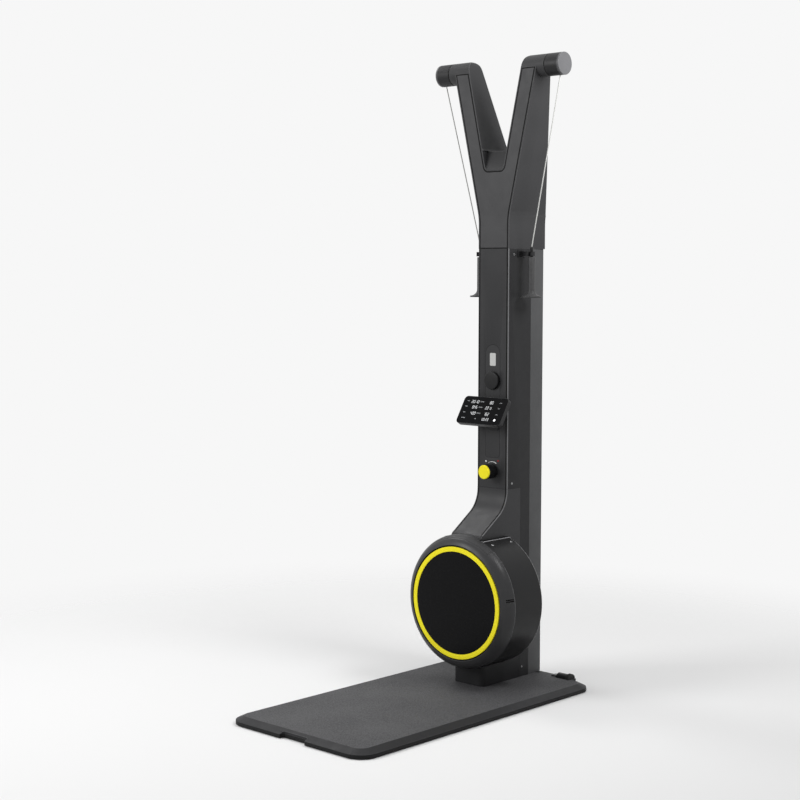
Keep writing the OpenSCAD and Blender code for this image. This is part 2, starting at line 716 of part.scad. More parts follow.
module ring_housing() {
    t = drum_t;
    inner = flare_arc(flange_y + t + 0.5, drum_front, t);
    profile = concat([[ring_bore_r, flange_y], [ring_bore_r, ring_front + 0.8]],
        flare_arc(ring_front, drum_front, 0), [for (i = [len(inner) - 1:-1:0]) inner[i]],
        [[inner[0].x, flange_y + t], [ring_bore_r - 26, flange_y + t], [ring_bore_r - 26, flange_y]]);
    gap = seat_gap / 2;
    color([0.27, 0.27, 0.27]) difference() {
        about_depth(0, drum_h) rotate_extrude() polygon(profile);
        sector_about_depth(90 - collar_a - 0.12, 90 + collar_a + 0.12)
            polygon([[ring_back_r - 22, collar_y - gap], [ring_back_r + 5, collar_y - gap],
                [ring_back_r + 5, drum_front + 1], [ring_back_r - 22, drum_front + 1]]);
        for (z = [-2.9, 2.9]) about_depth(0, drum_h) rotate([0, 0, -9])
            translate([ring_bore_r, z - 1.7, ring_front + 11]) cube([40, 3.4, 26]);
    }
}
module front_disc() {
    dome = 3;
    edge = ring_front + 1;
    hub = yellow_r - yellow_w - 0.9;
    dome_r = (pow(hub, 2) + pow(dome, 2)) / (2 * dome);
    crown = [for (i = [0:12]) let (r = hub * i / 12)
        [r, edge + dome_r - dome - sqrt(pow(dome_r, 2) - pow(r, 2))]];
    color([0.05, 0.05, 0.05]) about_depth(0, drum_h) rotate_extrude() polygon(concat(crown,
        [[hub, ring_front + channel_d], [ring_bore_r - seat_gap, ring_front + channel_d],
            [ring_bore_r - seat_gap, flange_y], [hub - 7, flange_y], [hub - 7, ring_front + 6],
            [0, ring_front + 6]]));
}
module yellow_ring() {
    color([1, 0.86, 0.1]) about_depth(0, drum_h) rotate_extrude() polygon(rounded([
        [yellow_r - yellow_w, ring_front + channel_d, 0], [yellow_r - yellow_w, ring_front, 1],
        [yellow_r, ring_front, 1], [yellow_r, ring_front + channel_d, 0]], 4));
}

// Flywheel, bearings, spools and brake
module flywheel_shaft() {
    color([0.6, 0.6, 0.6]) rod_y(0, drum_h, shaft_r, fan_y - 38, mast_front - 1);
}
function blade_point(r, side) =
    let (s = (r - blade_in) / (blade_out - blade_in), a = 34 * s * s + side * 1.3 / r * 57.3)
    [r * cos(a), r * sin(a)];
module fan_wheel() {
    steps = [for (i = [0:6]) blade_in + (blade_out - blade_in) * i / 6];
    blade = concat([for (r = steps) blade_point(r, -1)],
        [for (i = [6:-1:0]) blade_point(steps[i], 1)]);
    color([0.45, 0.45, 0.47]) about_depth(0, drum_h) difference() {
        union() {
            translate([0, 0, fan_y]) cylinder(r = fan_r, h = disc_t);
            translate([0, 0, fan_y - 36]) cylinder(r = 26, h = 37);
            for (i = [0:blades - 1]) rotate([0, 0, i * 360 / blades])
                translate([0, 0, fan_y - blade_w]) linear_extrude(blade_w + 1) polygon(blade);
        }
        translate([0, 0, fan_y - 60]) cylinder(r = shaft_r + 0.02, h = 100);
        for (i = [0:5]) rotate([0, 0, i * 60 + 30]) translate([46, 0, fan_y - 1])
            cylinder(r = 9, h = disc_t + 2);
    }
}
module ring_rod(r_in, r_out, y0, y1) {
    difference() {
        rod_y(0, drum_h, r_out, y0, y1);
        rod_y(0, drum_h, r_in, y0 - 1, y1 + 1);
    }
}
module shaft_bearings() {
    color([0.7, 0.7, 0.7]) {
        ring_rod(shaft_r + run_gap, bearing_r, drum_back, drum_back + bearing_w);
        ring_rod(shaft_r + run_gap, bearing_r, mast_front - bearing_w, mast_front);
    }
}
module spool(y) {
    flange = 3;
    hub = spool_r - cord_r;
    color([0.35, 0.35, 0.35]) about_depth(0, drum_h) difference() {
        translate([0, 0, y]) rotate_extrude() polygon([[shaft_r + run_gap, 0], [spool_flange_r, 0],
            [spool_flange_r, flange], [hub, flange], [hub, spool_w - flange],
            [spool_flange_r, spool_w - flange], [spool_flange_r, spool_w], [shaft_r + run_gap, spool_w]]);
        for (i = [0:5]) rotate([0, 0, i * 60]) translate([26, 0, y - 1])
            cylinder(r = 6.5, h = spool_w + 2);
    }
}
module right_spool() { spool(right_spool_y); }
module left_spool() { spool(left_spool_y); }
module spring_cans() {
    color([0.3, 0.3, 0.3]) {
        ring_rod(bearing_r + 4.1, spool_flange_r - 2, can_y, can_y + can_l);
        ring_rod(bearing_r + 4.1, spool_flange_r - 2, can_back, can_back + can_l);
    }
}
module magnet_arm() {
    y0 = fan_y - 6;
    y1 = fan_y + disc_t + 6;
    plate = 4;
    low_r = fan_r - 6;
    bridge_r = fan_r + 15;
    out_r = bridge_r + 9;
    color([0.5, 0.5, 0.5]) difference() {
        union() {
            sector_about_depth(20, pivot_a) translate([bridge_r, y0]) square([out_r - bridge_r, y1 - y0]);
            for (y = [y0 + 0.4, y1 - plate])
                sector_about_depth(20.4, 46) translate([low_r, y]) square([bridge_r + 2 - low_r, plate - 0.4]);
            rod_y(pivot_x, pivot_z, 9, fan_y - 12, fan_y + disc_t + 24.5);
        }
        rod_y(pivot_x, pivot_z, pin_r + run_gap, fan_y - 20, fan_y + disc_t + 30);
    }
}
cable_points = [
    [0, col_front + 12, knob_h - 16], [0, col_front + 13, knob_h - 30], [4, col_front + 14, knob_h - 60],
    [14, col_front + 8, knob_h - 110], [28, col_front - 8, knob_h - 150],
    [42, col_front - 34, knob_h - 178], [52, col_front - 56, knob_h - 192],
    [59, col_front - 71, knob_h - 203], [60, col_front - 73, flat_z + 6], [60, col_front - 73, flat_z + 0.2]];
module brake_cable() {
    color([0.05, 0.05, 0.05]) tube(cable_points, 2.5);
}

// Head with its two arms
module head_outline(v_h, low) {
    points = [[col_hw, low, 0], [col_hw, splay_h, splay_r], [outer_x(arm_top), arm_top, 0],
        [inner_x(arm_top), arm_top, arm_top_r], [inner_x(v_h), v_h, v_r]];
    left = [for (i = [len(points) - 1:-1:0]) [-points[i].x, points[i].y, points[i][2]]];
    polygon(rounded(concat(points, left)));
}
module head_side(inset, low) {
    r = arm_r - inset;
    s = [cos(lean_a), sin(lean_a)];
    corner_z = lean_h + inset * (s.y - 1) / s.x;
    translate([arm_y, arm_axis_h]) circle(r = r);
    polygon([[col_front + inset, low], [col_back - inset, low], [col_back - inset, lean_h],
        [arm_y, arm_axis_h] + r * s, [arm_y, arm_axis_h], [col_front + inset, arm_axis_h]]);
}
module head_body() {
    difference() {
        union() {
            intersection() {
                front_prism(col_front - 5, col_back + 5) head_outline(v_saddle_h, seam_h);
                side_prism(-wide, wide) head_side(0, seam_h - 10);
            }
            both_sides() rod_x(arm_y, arm_axis_h, arm_r, inner_x(arm_axis_h) + 40, arm_end_x);
        }
        intersection() {
            front_prism(col_front - 5, col_back) difference() {
                head_outline(v_saddle_h + 4, seam_h);
                head_outline(v_floor_h, seam_h - 10);
            }
            side_prism(-100, 100) polygon([[col_front - 3, v_floor_h - 6.4], [col_front + v_slope_d, v_saddle_h],
                [col_front + v_slope_d, v_saddle_h + 3], [col_front - 3, v_saddle_h + 3]]);
        }
    }
}
module head_shell() {
    t = cover_t;
    color([0.26, 0.26, 0.26]) difference() {
        head_body();
        intersection() {
            union() {
                front_prism(panel_back + t, col_back) offset(delta = -t) head_outline(v_floor_h, seam_h - 40);
                front_prism(col_front + v_slope_d + t, col_back) offset(delta = -t) head_outline(v_saddle_h, seam_h - 30);
            }
            side_prism(-wide, wide) head_side(t, seam_h - 10);
        }
        both_sides() rod_x(arm_y, arm_axis_h, arm_r - t, inner_x(arm_axis_h) + 42, arm_end_x - t - 0.5);
        both_sides() rod_x(arm_y, arm_axis_h, sleeve_r + seat_gap, arm_end_x - 10, arm_end_x + 1);
        front_prism(col_front - 5, panel_back) panel_pocket(rim_w, panel_top + seat_gap);
        front_prism(panel_back - 1, panel_back + t + 1) panel_pocket(rim_w + ledge_w, panel_top - ledge_w);
    }
}
module panel_pocket(inset, top) {
    intersection() {
        offset(delta = -inset) head_outline(v_floor_h, seam_h - 40);
        translate([-wide, seam_h - 20]) square([2 * wide, top - seam_h + 20]);
    }
}
module head_front_panel() {
    color([0.25, 0.25, 0.25]) front_prism(col_front, panel_back) intersection() {
        offset(delta = -rim_w - gap_w) head_outline(v_floor_h, seam_h - 40);
        translate([-wide, seam_h + seat_gap]) square([2 * wide, panel_top - seam_h - seat_gap]);
    }
}

// Swivels, pulleys and cords
module swivel_housing() {
    wall = 3.5;
    inner_end = swivel_end_x - cap_t;
    cheek_y = pulley_w / 2 + 1;
    color([0.17, 0.17, 0.17]) difference() {
        union() {
            difference() {
                rod_x(arm_y, arm_axis_h, arm_r, swivel_x, inner_end);
                rod_x(arm_y, arm_axis_h, arm_r - wall, swivel_x + 5, inner_end + 1);
            }
            rod_x(arm_y, arm_axis_h, sleeve_r + 4, swivel_x, swivel_x + 10);
            for (side = [-1, 1]) translate([0, side * (cheek_y + 1.5), 0])
                box([swivel_x + 4, arm_y - 1.5, pulley_z - 13], [pulley_x + 12, arm_y + 1.5, pulley_z + 12]);
            rod_y(pulley_x, pulley_z, 2.5, arm_y - cheek_y - 1, arm_y + cheek_y + 1);
        }
        rod_x(arm_y, arm_axis_h, sleeve_r + run_gap, swivel_x - 1, sleeve_end);
        box([exit_x - 7, arm_y - 5, exit_z - 5], [inner_end + 1, arm_y + 5, exit_z + 8]);
    }
}
module right_swivel_housing() { swivel_housing(); }
module left_swivel_housing() { mirror([1, 0, 0]) swivel_housing(); }
module end_cap() {
    bevel = 1.5;
    x0 = swivel_end_x - cap_t;
    color([0.5, 0.5, 0.5]) difference() {
        translate([x0 - 4, arm_y, arm_axis_h]) rotate([0, 90, 0]) rotate_extrude() polygon([[0, 0],
            [arm_r - 3.7, 0], [arm_r - 3.7, 4], [arm_r, 4], [arm_r, cap_t + 4 - bevel],
            [arm_r - bevel, cap_t + 4], [0, cap_t + 4]]);
        box([x0 - 5, arm_y - 5, exit_z - 5], [x0 + 3, arm_y + 5, exit_z + 8]);
    }
}
module right_end_cap() { end_cap(); }
module left_end_cap() { mirror([1, 0, 0]) end_cap(); }
module grooved_wheel(x, z, path_r, bore_r) {
    rim = path_r + flange_h;
    w = pulley_w;
    color([0.75, 0.75, 0.72]) translate([0, arm_y - w / 2, 0]) about_depth(x, z) rotate_extrude()
        polygon(concat([[bore_r, 0], [rim, 0], [rim, 1.2]],
            arc([path_r, w / 2], cord_r + 0.2, -90, -270, 8), [[rim, w - 1.2], [rim, w], [bore_r, w]]));
}
module right_swivel_pulley() { grooved_wheel(pulley_x, pulley_z, pulley_r, 2.5 + run_gap); }
module left_swivel_pulley() { mirror([1, 0, 0]) right_swivel_pulley(); }
module right_arm_pulley() { grooved_wheel(arm_pulley_x, pulley_z, pulley_r, 3 + run_gap); }
module left_arm_pulley() { mirror([1, 0, 0]) right_arm_pulley(); }
module right_guide_roller() { grooved_wheel(roller_x, roller_z, roller_r, 3 + run_gap); }
module left_guide_roller() { mirror([1, 0, 0]) right_guide_roller(); }
function bend(x, z, r, a0, a1, n) =
    [for (p = arc([x, z], r, a0, a1, n)) [p.x, arm_y, p.y]];
module inner_cord(y) {
    r = cord_r;
    points = concat([[sleeve_end, arm_y, arm_axis_h]],
        bend(arm_pulley_x, pulley_z, pulley_r, 90, 180 - splay_a, 7),
        bend(roller_x, roller_z, roller_r, 180 - splay_a, 180, 3),
        [[spool_r, y, drum_h]]);
    tube(points, r);
}
module inner_cords() {
    color([0.8, 0.8, 0.8]) {
        inner_cord(right_spool_y + spool_w / 2);
        mirror([1, 0, 0]) inner_cord(left_spool_y + spool_w / 2);
    }
}
module guide_cord() {
    color([0.8, 0.8, 0.8]) tube(concat([[sleeve_end + seat_gap, arm_y, arm_axis_h]],
        bend(pulley_x, pulley_z, pulley_r, 90, 0, 7), [[exit_x, arm_y, exit_z]]), cord_r);
}
module right_guide_cord() { guide_cord(); }
module left_guide_cord() { mirror([1, 0, 0]) guide_cord(); }
module pull_cord() {
    top = [exit_x, arm_y, exit_z - 0.6];
    low = [grip_x, grip_y, neck_h + 0.6];
    way = top - low;
    color([0.8, 0.8, 0.8]) translate(low) rotate([0, acos(way.z / norm(way)), atan2(way.y, way.x)])
        cylinder(r = cord_r, h = norm(way));
}
module right_cord() { pull_cord(); }
module left_cord() { mirror([1, 0, 0]) pull_cord(); }

// Handles and their hooks
module handle_neck() {
    color([0.08, 0.08, 0.08]) translate([grip_x, grip_y, grip_h]) rotate_extrude()
        polygon([[0, -14], [neck_r - 1, -14], [neck_r - 1, 0], [neck_r, 0], [neck_r, neck_h - grip_h - 3],
            [neck_r - 2, neck_h - grip_h], [0, neck_h - grip_h]]);
}
module right_neck() { handle_neck(); }
module left_neck() { mirror([1, 0, 0]) handle_neck(); }
module grip() {
    flare = 22;
    rim = 5;
    low = -grip_l;
    curve = [for (i = [0:8]) let (a = 90 * i / 8)
        [pommel_r - (pommel_r - grip_r) * sin(a), low + rim + flare * (1 - cos(a))]];
    color([0.16, 0.16, 0.16]) translate([grip_x, grip_y, grip_h]) rotate_extrude()
        polygon(concat([[0, low]], corner([0, low], [pommel_r, low], [pommel_r, low + rim], 2, 3),
            curve, corner([grip_r, low + rim + flare], [grip_r, 0], [0, 0], 2, 3),
            [[neck_r - 1 + 0.02, 0], [neck_r - 1 + 0.02, -14], [0, -14]]));
}
module right_grip() { grip(); }
module left_grip() { mirror([1, 0, 0]) grip(); }
module hook() {
    slot_r = neck_r + slot_gap;
    front = grip_y - 13;
    back = grip_y + 14;
    tip = grip_x + slot_r + 5;
    outline = rounded([[col_hw, front + 4, 0], [col_hw + 3, front, 3], [tip, front, 5],
        [tip, back, 12], [col_hw, back, 0]]);
    color([0.04, 0.04, 0.04]) difference() {
        union() {
            slab(outline, hook_h - hook_t, hook_h);
            side_prism(col_hw, col_hw + 3) polygon(rounded([[front - 6, hook_h - hook_t - 5, 5],
                [back + 6, hook_h - hook_t - 5, 5], [back + 6, hook_h + 5, 5], [front - 6, hook_h + 5, 5]]));
        }
        translate([grip_x, grip_y, hook_h - hook_t - 1]) cylinder(r = slot_r, h = hook_t + 2);
        box([grip_x - slot_r, front - 10, hook_h - hook_t - 1], [grip_x + slot_r, grip_y, hook_h + 1]);
    }
}
module handle_hooks() { both_sides() hook(); }

// Display, reader and knob
module display_place() {
    translate([0, disp_y, disp_mid_h]) rotate([90 - disp_tilt, 0, 0]) children();
}
function disp_outline(inset) = plate_points(disp_w / 2 - inset, -disp_h / 2 + inset, disp_h / 2 - inset, disp_r - inset);
module display_housing() {
    knuckle_r = 9;
    color([0.12, 0.12, 0.12]) difference() {
        union() {
            display_place() slab(disp_outline(0), -disp_t, 0);
            rod_x(hinge_y, hinge_z, knuckle_r, -19.5, 19.5);
            display_place() box([-19, -hinge_drop - knuckle_r + 2, -hinge_back],
                [19, -hinge_drop + knuckle_r - 2, -disp_t + 1]);
        }
        display_place() slab(disp_outline(1.5), -glass_t, 1);
        rod_x(hinge_y, hinge_z, pin_r + run_gap, -30, 30);
    }
}
module display_glass() {
    color([0.02, 0.02, 0.02]) display_place() slab(disp_outline(1.5 + seat_gap), -glass_t, 0);
}
module display_bracket() {
    ear_r = 10;
    low = hinge_z - 50;
    high = hinge_z + 34;
    color([0.1, 0.1, 0.1]) union() {
        front_prism(col_front - 4, col_front)
            polygon(rounded([[30, low, 14], [30, high, 6], [-30, high, 6], [-30, low, 14]]));
        both_sides() side_prism(20, 26) {
            translate([hinge_y, hinge_z]) circle(r = ear_r);
            polygon([[hinge_y, hinge_z - ear_r], [col_front - 3, low + 14], [col_front - 3, high - 6],
                [hinge_y, hinge_z + ear_r]]);
        }
        rod_x(hinge_y, hinge_z, pin_r, -27, 27);
    }
}
module reader_disc() {
    color([0.08, 0.08, 0.08]) translate([0, col_front, 0]) mirror([0, 1, 0]) about_depth(0, reader_h)
        rotate_extrude() polygon(concat([[0, 0], [reader_r, 0]],
            corner([reader_r, 0], [reader_r, reader_t], [0, reader_t], 3, 5), [[0, reader_t]]));
}
module knob_body() {
    grip_end = knob_l - knob_cap_t;
    stem = 20;
    color([0.07, 0.07, 0.07]) translate([0, col_front, 0]) mirror([0, 1, 0]) about_depth(0, knob_h)
        rotate_extrude() polygon([[0, -stem], [10, -stem], [10, -panel_t - seat_gap], [5, -panel_t - seat_gap], [5, seat_gap],
            [knob_r, seat_gap], [knob_r, grip_end - 1], [knob_r - 1, grip_end], [0, grip_end]]);
}
module knob_cap() {
    top = knob_l;
    color([1, 0.86, 0.1]) translate([0, col_front, 0]) mirror([0, 1, 0]) about_depth(0, knob_h)
        rotate_extrude() polygon(concat([[0, top - knob_cap_t], [knob_r - 1, top - knob_cap_t]],
            corner([knob_r - 1, 0], [knob_r - 1, top], [0, top], 3, 5), [[0, top]]));
}

// Screws that show on the covers
module cover_screws() {
    head_r = 4;
    head_h = 1.2;
    on_sides = [[col_front + 29.5, seam_h - 20], [col_front + 25, low_seam_h + 19],
        [split_y + 14, deck_h + 34.5]];
    color([0.5, 0.5, 0.5]) {
        both_sides() for (p = on_sides) rod_x(p.x, p.y, head_r, col_hw, col_hw + head_h);
        both_sides() for (y = [drum_front + 28, drum_back - 20])
            translate([flat_half - 10, y, flat_z]) cylinder(r = 5, h = 2);
        both_sides() translate([bracket_x - 11, wheel_y, deck_h + ear_t]) cylinder(r = 5, h = 1.5);
    }
}

base_tray();
rubber_feet();
deck_cover();
deck_mat();
wheel_brackets();
left_wheel();
right_wheel();
mast_foot();
mast_tube();
arm_frame();
drive_frame();
foot_cover();
left_side_cover();
right_side_cover();
column_front_panel();
control_strip();
rear_cover();
neck_cover();
head_shell();
head_front_panel();
handle_hooks();
left_swivel_housing();
right_swivel_housing();
left_end_cap();
right_end_cap();
left_swivel_pulley();
right_swivel_pulley();
left_arm_pulley();
right_arm_pulley();
left_guide_roller();
right_guide_roller();
inner_cords();
left_guide_cord();
right_guide_cord();
left_cord();
right_cord();
left_neck();
right_neck();
left_grip();
right_grip();
drum_housing();
ring_housing();
front_disc();
yellow_ring();
flywheel_shaft();
fan_wheel();
shaft_bearings();
left_spool();
right_spool();
spring_cans();
magnet_arm();
display_housing();
display_glass();
display_bracket();
reader_disc();
knob_body();
knob_cap();
brake_cable();
cover_screws();
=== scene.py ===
import json
import math

import bmesh
import bpy
from bpy.props import FloatProperty, FloatVectorProperty, IntProperty, PointerProperty
from mathutils import Matrix, Vector
from mathutils.bvhtree import BVHTree


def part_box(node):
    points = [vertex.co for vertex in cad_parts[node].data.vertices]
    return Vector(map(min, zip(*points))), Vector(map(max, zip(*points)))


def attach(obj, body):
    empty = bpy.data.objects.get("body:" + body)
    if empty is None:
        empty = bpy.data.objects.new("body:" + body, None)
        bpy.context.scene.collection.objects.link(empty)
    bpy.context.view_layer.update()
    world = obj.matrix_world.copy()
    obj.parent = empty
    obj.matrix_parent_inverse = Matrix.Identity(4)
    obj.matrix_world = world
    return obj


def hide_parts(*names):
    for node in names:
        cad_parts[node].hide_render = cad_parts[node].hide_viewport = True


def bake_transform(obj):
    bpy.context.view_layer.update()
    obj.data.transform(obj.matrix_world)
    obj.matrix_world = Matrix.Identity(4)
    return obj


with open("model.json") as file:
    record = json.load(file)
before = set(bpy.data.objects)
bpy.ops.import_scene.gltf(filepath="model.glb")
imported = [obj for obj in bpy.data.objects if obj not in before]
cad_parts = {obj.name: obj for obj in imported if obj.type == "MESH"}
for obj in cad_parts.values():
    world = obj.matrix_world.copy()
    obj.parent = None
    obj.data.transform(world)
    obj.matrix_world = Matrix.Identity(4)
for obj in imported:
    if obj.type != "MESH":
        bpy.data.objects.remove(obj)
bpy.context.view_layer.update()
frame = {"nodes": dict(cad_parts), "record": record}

bl_info = {
    "name": "Ski trainer dressing",
    "version": (1, 0, 0),
    "blender": (4, 5, 0),
    "location": "View3D > Sidebar > Ski trainer",
    "description": "Gives the ski trainer its finishes, rounded edges, cords, display and small fittings",
    "category": "Object",
}

RECORD = frame["record"]
NODE_BODY = {n: b for b, nodes in RECORD["behaviour"]["bodies"].items() for n in nodes}
SLOT_COLOUR = {m["slot"]: tuple(m["base_color"]) for m in RECORD["materials"]}
SIDES = {"left": -1, "right": 1}  # each side and its sign along X
ROLLERS = ("_swivel_pulley", "_arm_pulley", "_guide_roller")


def colour_prop(name, description, colour):
    return FloatVectorProperty(name=name, description=description, subtype="COLOR", size=3,
                               min=0.0, max=1.0, default=colour)


def length_prop(name, description, default):
    return FloatProperty(name=name, description=description, default=default, min=0.0,
                         unit="LENGTH", precision=5)


class SkiColours(bpy.types.PropertyGroup):
    covers: colour_prop("Side covers", "Moulded covers on the sides of the column", (0.017, 0.017, 0.018))
    rear: colour_prop("Rear cover", "Cover over the back of the column", (0.07, 0.071, 0.073))
    panels: colour_prop("Front panel", "Front panel and control strip", (0.027, 0.027, 0.0285))
    # Painted light: the head, its front panel and the neck are given lighter greys than the column's side
    # covers and panel, standing in for the brighter light that falls on them.
    head: colour_prop("Head", "Moulded forked head", (0.034, 0.034, 0.0355))
    head_panel: colour_prop("Head panel", "Panel on the front of the head", (0.05, 0.05, 0.052))
    neck: colour_prop("Neck", "Cover that sweeps down to the drum", (0.033, 0.033, 0.0345))
    # Painted highlight: a pale grey on the rounded front corners of the column's side covers and on the
    # neck's long edges, where light catches them.
    edge: colour_prop("Column edges", "Polished edges of the column's covers", (0.16, 0.16, 0.165))
    # Painted highlight: a lighter grey on the head's rounded edges, where light catches them.
    head_edge: colour_prop("Head edges", "Polished edges of the head", (0.085, 0.085, 0.088))
    # Painted shade: near black on faces beside the gaps between covers and at the swivels' seams, standing
    # in for the shade inside them.
    gap: colour_prop("Gaps", "Shadow gaps between covers", (0.004, 0.004, 0.004))
    ring: colour_prop("Ring housing", "Moulded ring round the disc", (0.035, 0.035, 0.0365))
    foot: colour_prop("Foot cover", "Cover over the foot of the column", (0.013, 0.013, 0.014))
    disc: colour_prop("Disc", "Domed disc, reader disc and knob", (0.006, 0.006, 0.0065))
    accent: colour_prop("Accent", "Yellow ring and knob cap", (1.0, 0.86, 0.028))
    tray: colour_prop("Tray", "Lower tray of the platform", (0.005, 0.005, 0.0053))
    drum: colour_prop("Drum", "Black housing behind the ring", (0.007, 0.007, 0.0075))
    # Painted highlight: a pale grey on the drum's rounded back edge, where light catches it.
    drum_rim: colour_prop("Drum rim", "Polished back edge of the drum", (0.34, 0.34, 0.35))
    # Painted highlight: a lighter grey on the sloped border's rounded edges, where light catches them.
    rim: colour_prop("Platform rim", "Thin rounded edge of the sloped border", (0.055, 0.055, 0.058))
    border: colour_prop("Border", "Sloped border of the platform", (0.019, 0.019, 0.0205))
    mat: colour_prop("Mat", "Anti-slip mat", (0.07, 0.07, 0.073))
    swivel: colour_prop("Swivels", "Swivel housings", (0.016, 0.016, 0.017))
    cap: colour_prop("End caps", "Flat caps of the swivels", (0.11, 0.11, 0.115))
    cord: colour_prop("Cords", "Braided pull cords", SLOT_COLOUR["cord_grey"])
    grip: colour_prop("Grips", "Rubber grips", (0.05, 0.05, 0.051))
    steel: colour_prop("Bright steel", "Shaft and bearings", SLOT_COLOUR["bright_steel"])
    glass: colour_prop("Glass", "Window of the display", (0.004, 0.004, 0.0045))
    digits: colour_prop("Digits", "Lit digits of the display", (0.5, 0.51, 0.52))
    screw: colour_prop("Screws", "Dark steel of the small screws", (0.3, 0.3, 0.305))


class SkiSizes(bpy.types.PropertyGroup):
    cover_edge: length_prop("Cover edge", "Radius of the edges of the large covers", 0.0022)
    drum_edge: length_prop("Drum edge", "Rounding of the drum's back edge", 0.003)
    border_edge: length_prop("Border edge", "Rounding of the platform's sloped border", 0.0014)
    ring_edge: length_prop("Ring edge", "Rounding of the ring housing", 0.0006)
    thin_edge: length_prop("Thin edge", "Rounding of the control strip and the display's glass", 0.0004)
    fine_edge: length_prop("Fine edge", "Radius of the edges of small mouldings", 0.0009)
    grain: length_prop("Moulded grain", "Size of the grain on the covers", 0.0011)
    mat_grain: length_prop("Mat grain", "Size of the pebbles on the mat", 0.0042)
    braid: length_prop("Braid pitch", "Length of one cross of the cord's braid", 0.0042)
    cord_radius: length_prop("Cord radius", "Radius of a pull cord", 0.0019)
    shell_edge: length_prop("Shell edge", "Radius of the long edges beside the front panels", 0.0026)
    # Width of the bands painted near black as the shade of the gaps and seams.
    gap: length_prop("Shadow gap", "Width of the dark line beside the front panels", 0.0034)
    digit: length_prop("Digit height", "Height of the large digits on the display", 0.0104)
    flutes: IntProperty(name="Flutes", description="Flutes round the knob", default=40, min=12, max=72)
    treads: IntProperty(name="Treads", description="Grooves round a wheel's tread", default=3, min=1, max=5)


def power_prop(name, description, default):
    return FloatProperty(name=name, description=description, default=default, min=0.0, unit="POWER")


class SkiStudio(bpy.types.PropertyGroup):
    key: power_prop("Key light", "Power of the large light in front on the left", 140.0)
    left: power_prop("Left light", "Power of the high light on the left", 22.0)
    right: power_prop("Right light", "Power of the light at the height of the head", 23.0)
    top: power_prop("Top light", "Power of the light overhead", 46.0)
    room: FloatProperty(name="Room", description="Brightness of the white room round the object",
                        default=0.42, min=0.0, max=2.0)
    paper: FloatProperty(name="Paper", description="Share of light that the floor gives back",
                         default=0.88, min=0.0, max=1.0)


def colours():
    return bpy.context.scene.ski_colours


def sizes():
    return bpy.context.scene.ski_sizes


def studio():
    return bpy.context.scene.ski_studio


# Materials


def add_node(tree, kind, **settings):
    """Adds a shader node, with its inputs and settings by name."""
    made = tree.nodes.new(kind)
    for key, value in settings.items():
        if key in made.inputs:
            made.inputs[key].default_value = value
        else:
            setattr(made, key, value)
    return made


def mix_shaders(tree, factor, first, second, output):
    """Mixes two shaders by a factor, and leads them to the output's surface."""
    mix = add_node(tree, "ShaderNodeMixShader")
    tree.links.new(factor, mix.inputs["Fac"])
    tree.links.new(first.outputs[0], mix.inputs[1])
    tree.links.new(second.outputs[0], mix.inputs[2])
    tree.links.new(mix.outputs["Shader"], output.inputs["Surface"])


class Finish:
    """Adds nodes to one material and keeps its shader at hand."""

    def __init__(self, name, colour, roughness, metallic=0.0, shine=0.2):
        self.material = bpy.data.materials.new(name)
        self.material.use_nodes = True
        self.tree = self.material.node_tree
        self.shader = self.tree.nodes["Principled BSDF"]
        self.colour, self.roughness = (*colour, 1.0), roughness
        for socket, value in (("Base Color", self.colour), ("Roughness", roughness), ("Metallic", metallic),
                              ("Specular IOR Level", shine)):
            self.shader.inputs[socket].default_value = value
        self.place = self.tree.nodes.new("ShaderNodeTexCoord").outputs["Object"]
        self.normal = None

    def node(self, kind, **settings):
        return add_node(self.tree, kind, **settings)

    def join(self, out, into):
        self.tree.links.new(out, into)

    def texture(self, kind, out, place=None, **settings):
        """One output of a texture that is placed by the object's own coordinates."""
        made = self.node(kind, **settings)
        self.join(place or self.place, made.inputs["Vector"])
        return made.outputs[out]

    def noise(self, size, detail=3.0, stretch=None):
        place = self.texture("ShaderNodeMapping", "Vector", Scale=stretch) if stretch else None
        return self.texture("ShaderNodeTexNoise", "Fac", place, Scale=1.0 / size, Detail=detail)

    def cells(self, size):
        return self.texture("ShaderNodeTexVoronoi", "Distance", Scale=1.0 / size)

    def spread(self, value, low, high, start=0.3, end=0.7):
        """Maps a texture's value to a range, limited at both ends."""
        ranged = self.node("ShaderNodeMapRange", **{"From Min": start, "From Max": end,
                                                    "To Min": low, "To Max": high})
        self.join(value, ranged.inputs["Value"])
        return ranged.outputs["Result"]

    def vary_colour(self, value, dark, light, start=0.3, end=0.7):
        """Makes the colour darker and lighter with a texture, by the two factors."""
        mix = self.node("ShaderNodeMix", data_type="RGBA")
        mix.inputs["A"].default_value = (*(c * dark for c in self.colour[:3]), 1.0)
        mix.inputs["B"].default_value = (*(min(1.0, c * light) for c in self.colour[:3]), 1.0)
        self.join(self.spread(value, 0.0, 1.0, start, end), mix.inputs["Factor"])
        self.join(mix.outputs["Result"], self.shader.inputs["Base Color"])

    def vary_rough(self, value, less, more):
        """Makes the surface glossier and duller with a texture, by so much less and more roughness."""
        spread = self.spread(value, self.roughness - less, self.roughness + more)
        self.join(spread, self.shader.inputs["Roughness"])

    def bump(self, value, depth, strength=1.0):
        made = self.node("ShaderNodeBump", Distance=depth, Strength=strength)
        self.join(value, made.inputs["Height"])
        if self.normal:
            self.join(self.normal, made.inputs["Normal"])
        self.normal = made.outputs["Normal"]
        self.join(self.normal, self.shader.inputs["Normal"])


def moulded(name, colour, roughness=0.5, mottle=0.08):
    """Grained moulded plastic, with slight differences in tone and gloss."""
    f = Finish(name, colour, roughness)
    f.vary_colour(f.noise(0.12, 2.0), 1.0 - mottle, 1.0 + mottle)
    f.vary_rough(f.noise(0.03, 4.0), 0.05, 0.06)
    f.bump(f.noise(sizes().grain, 4.0), 0.00006)
    return f.material


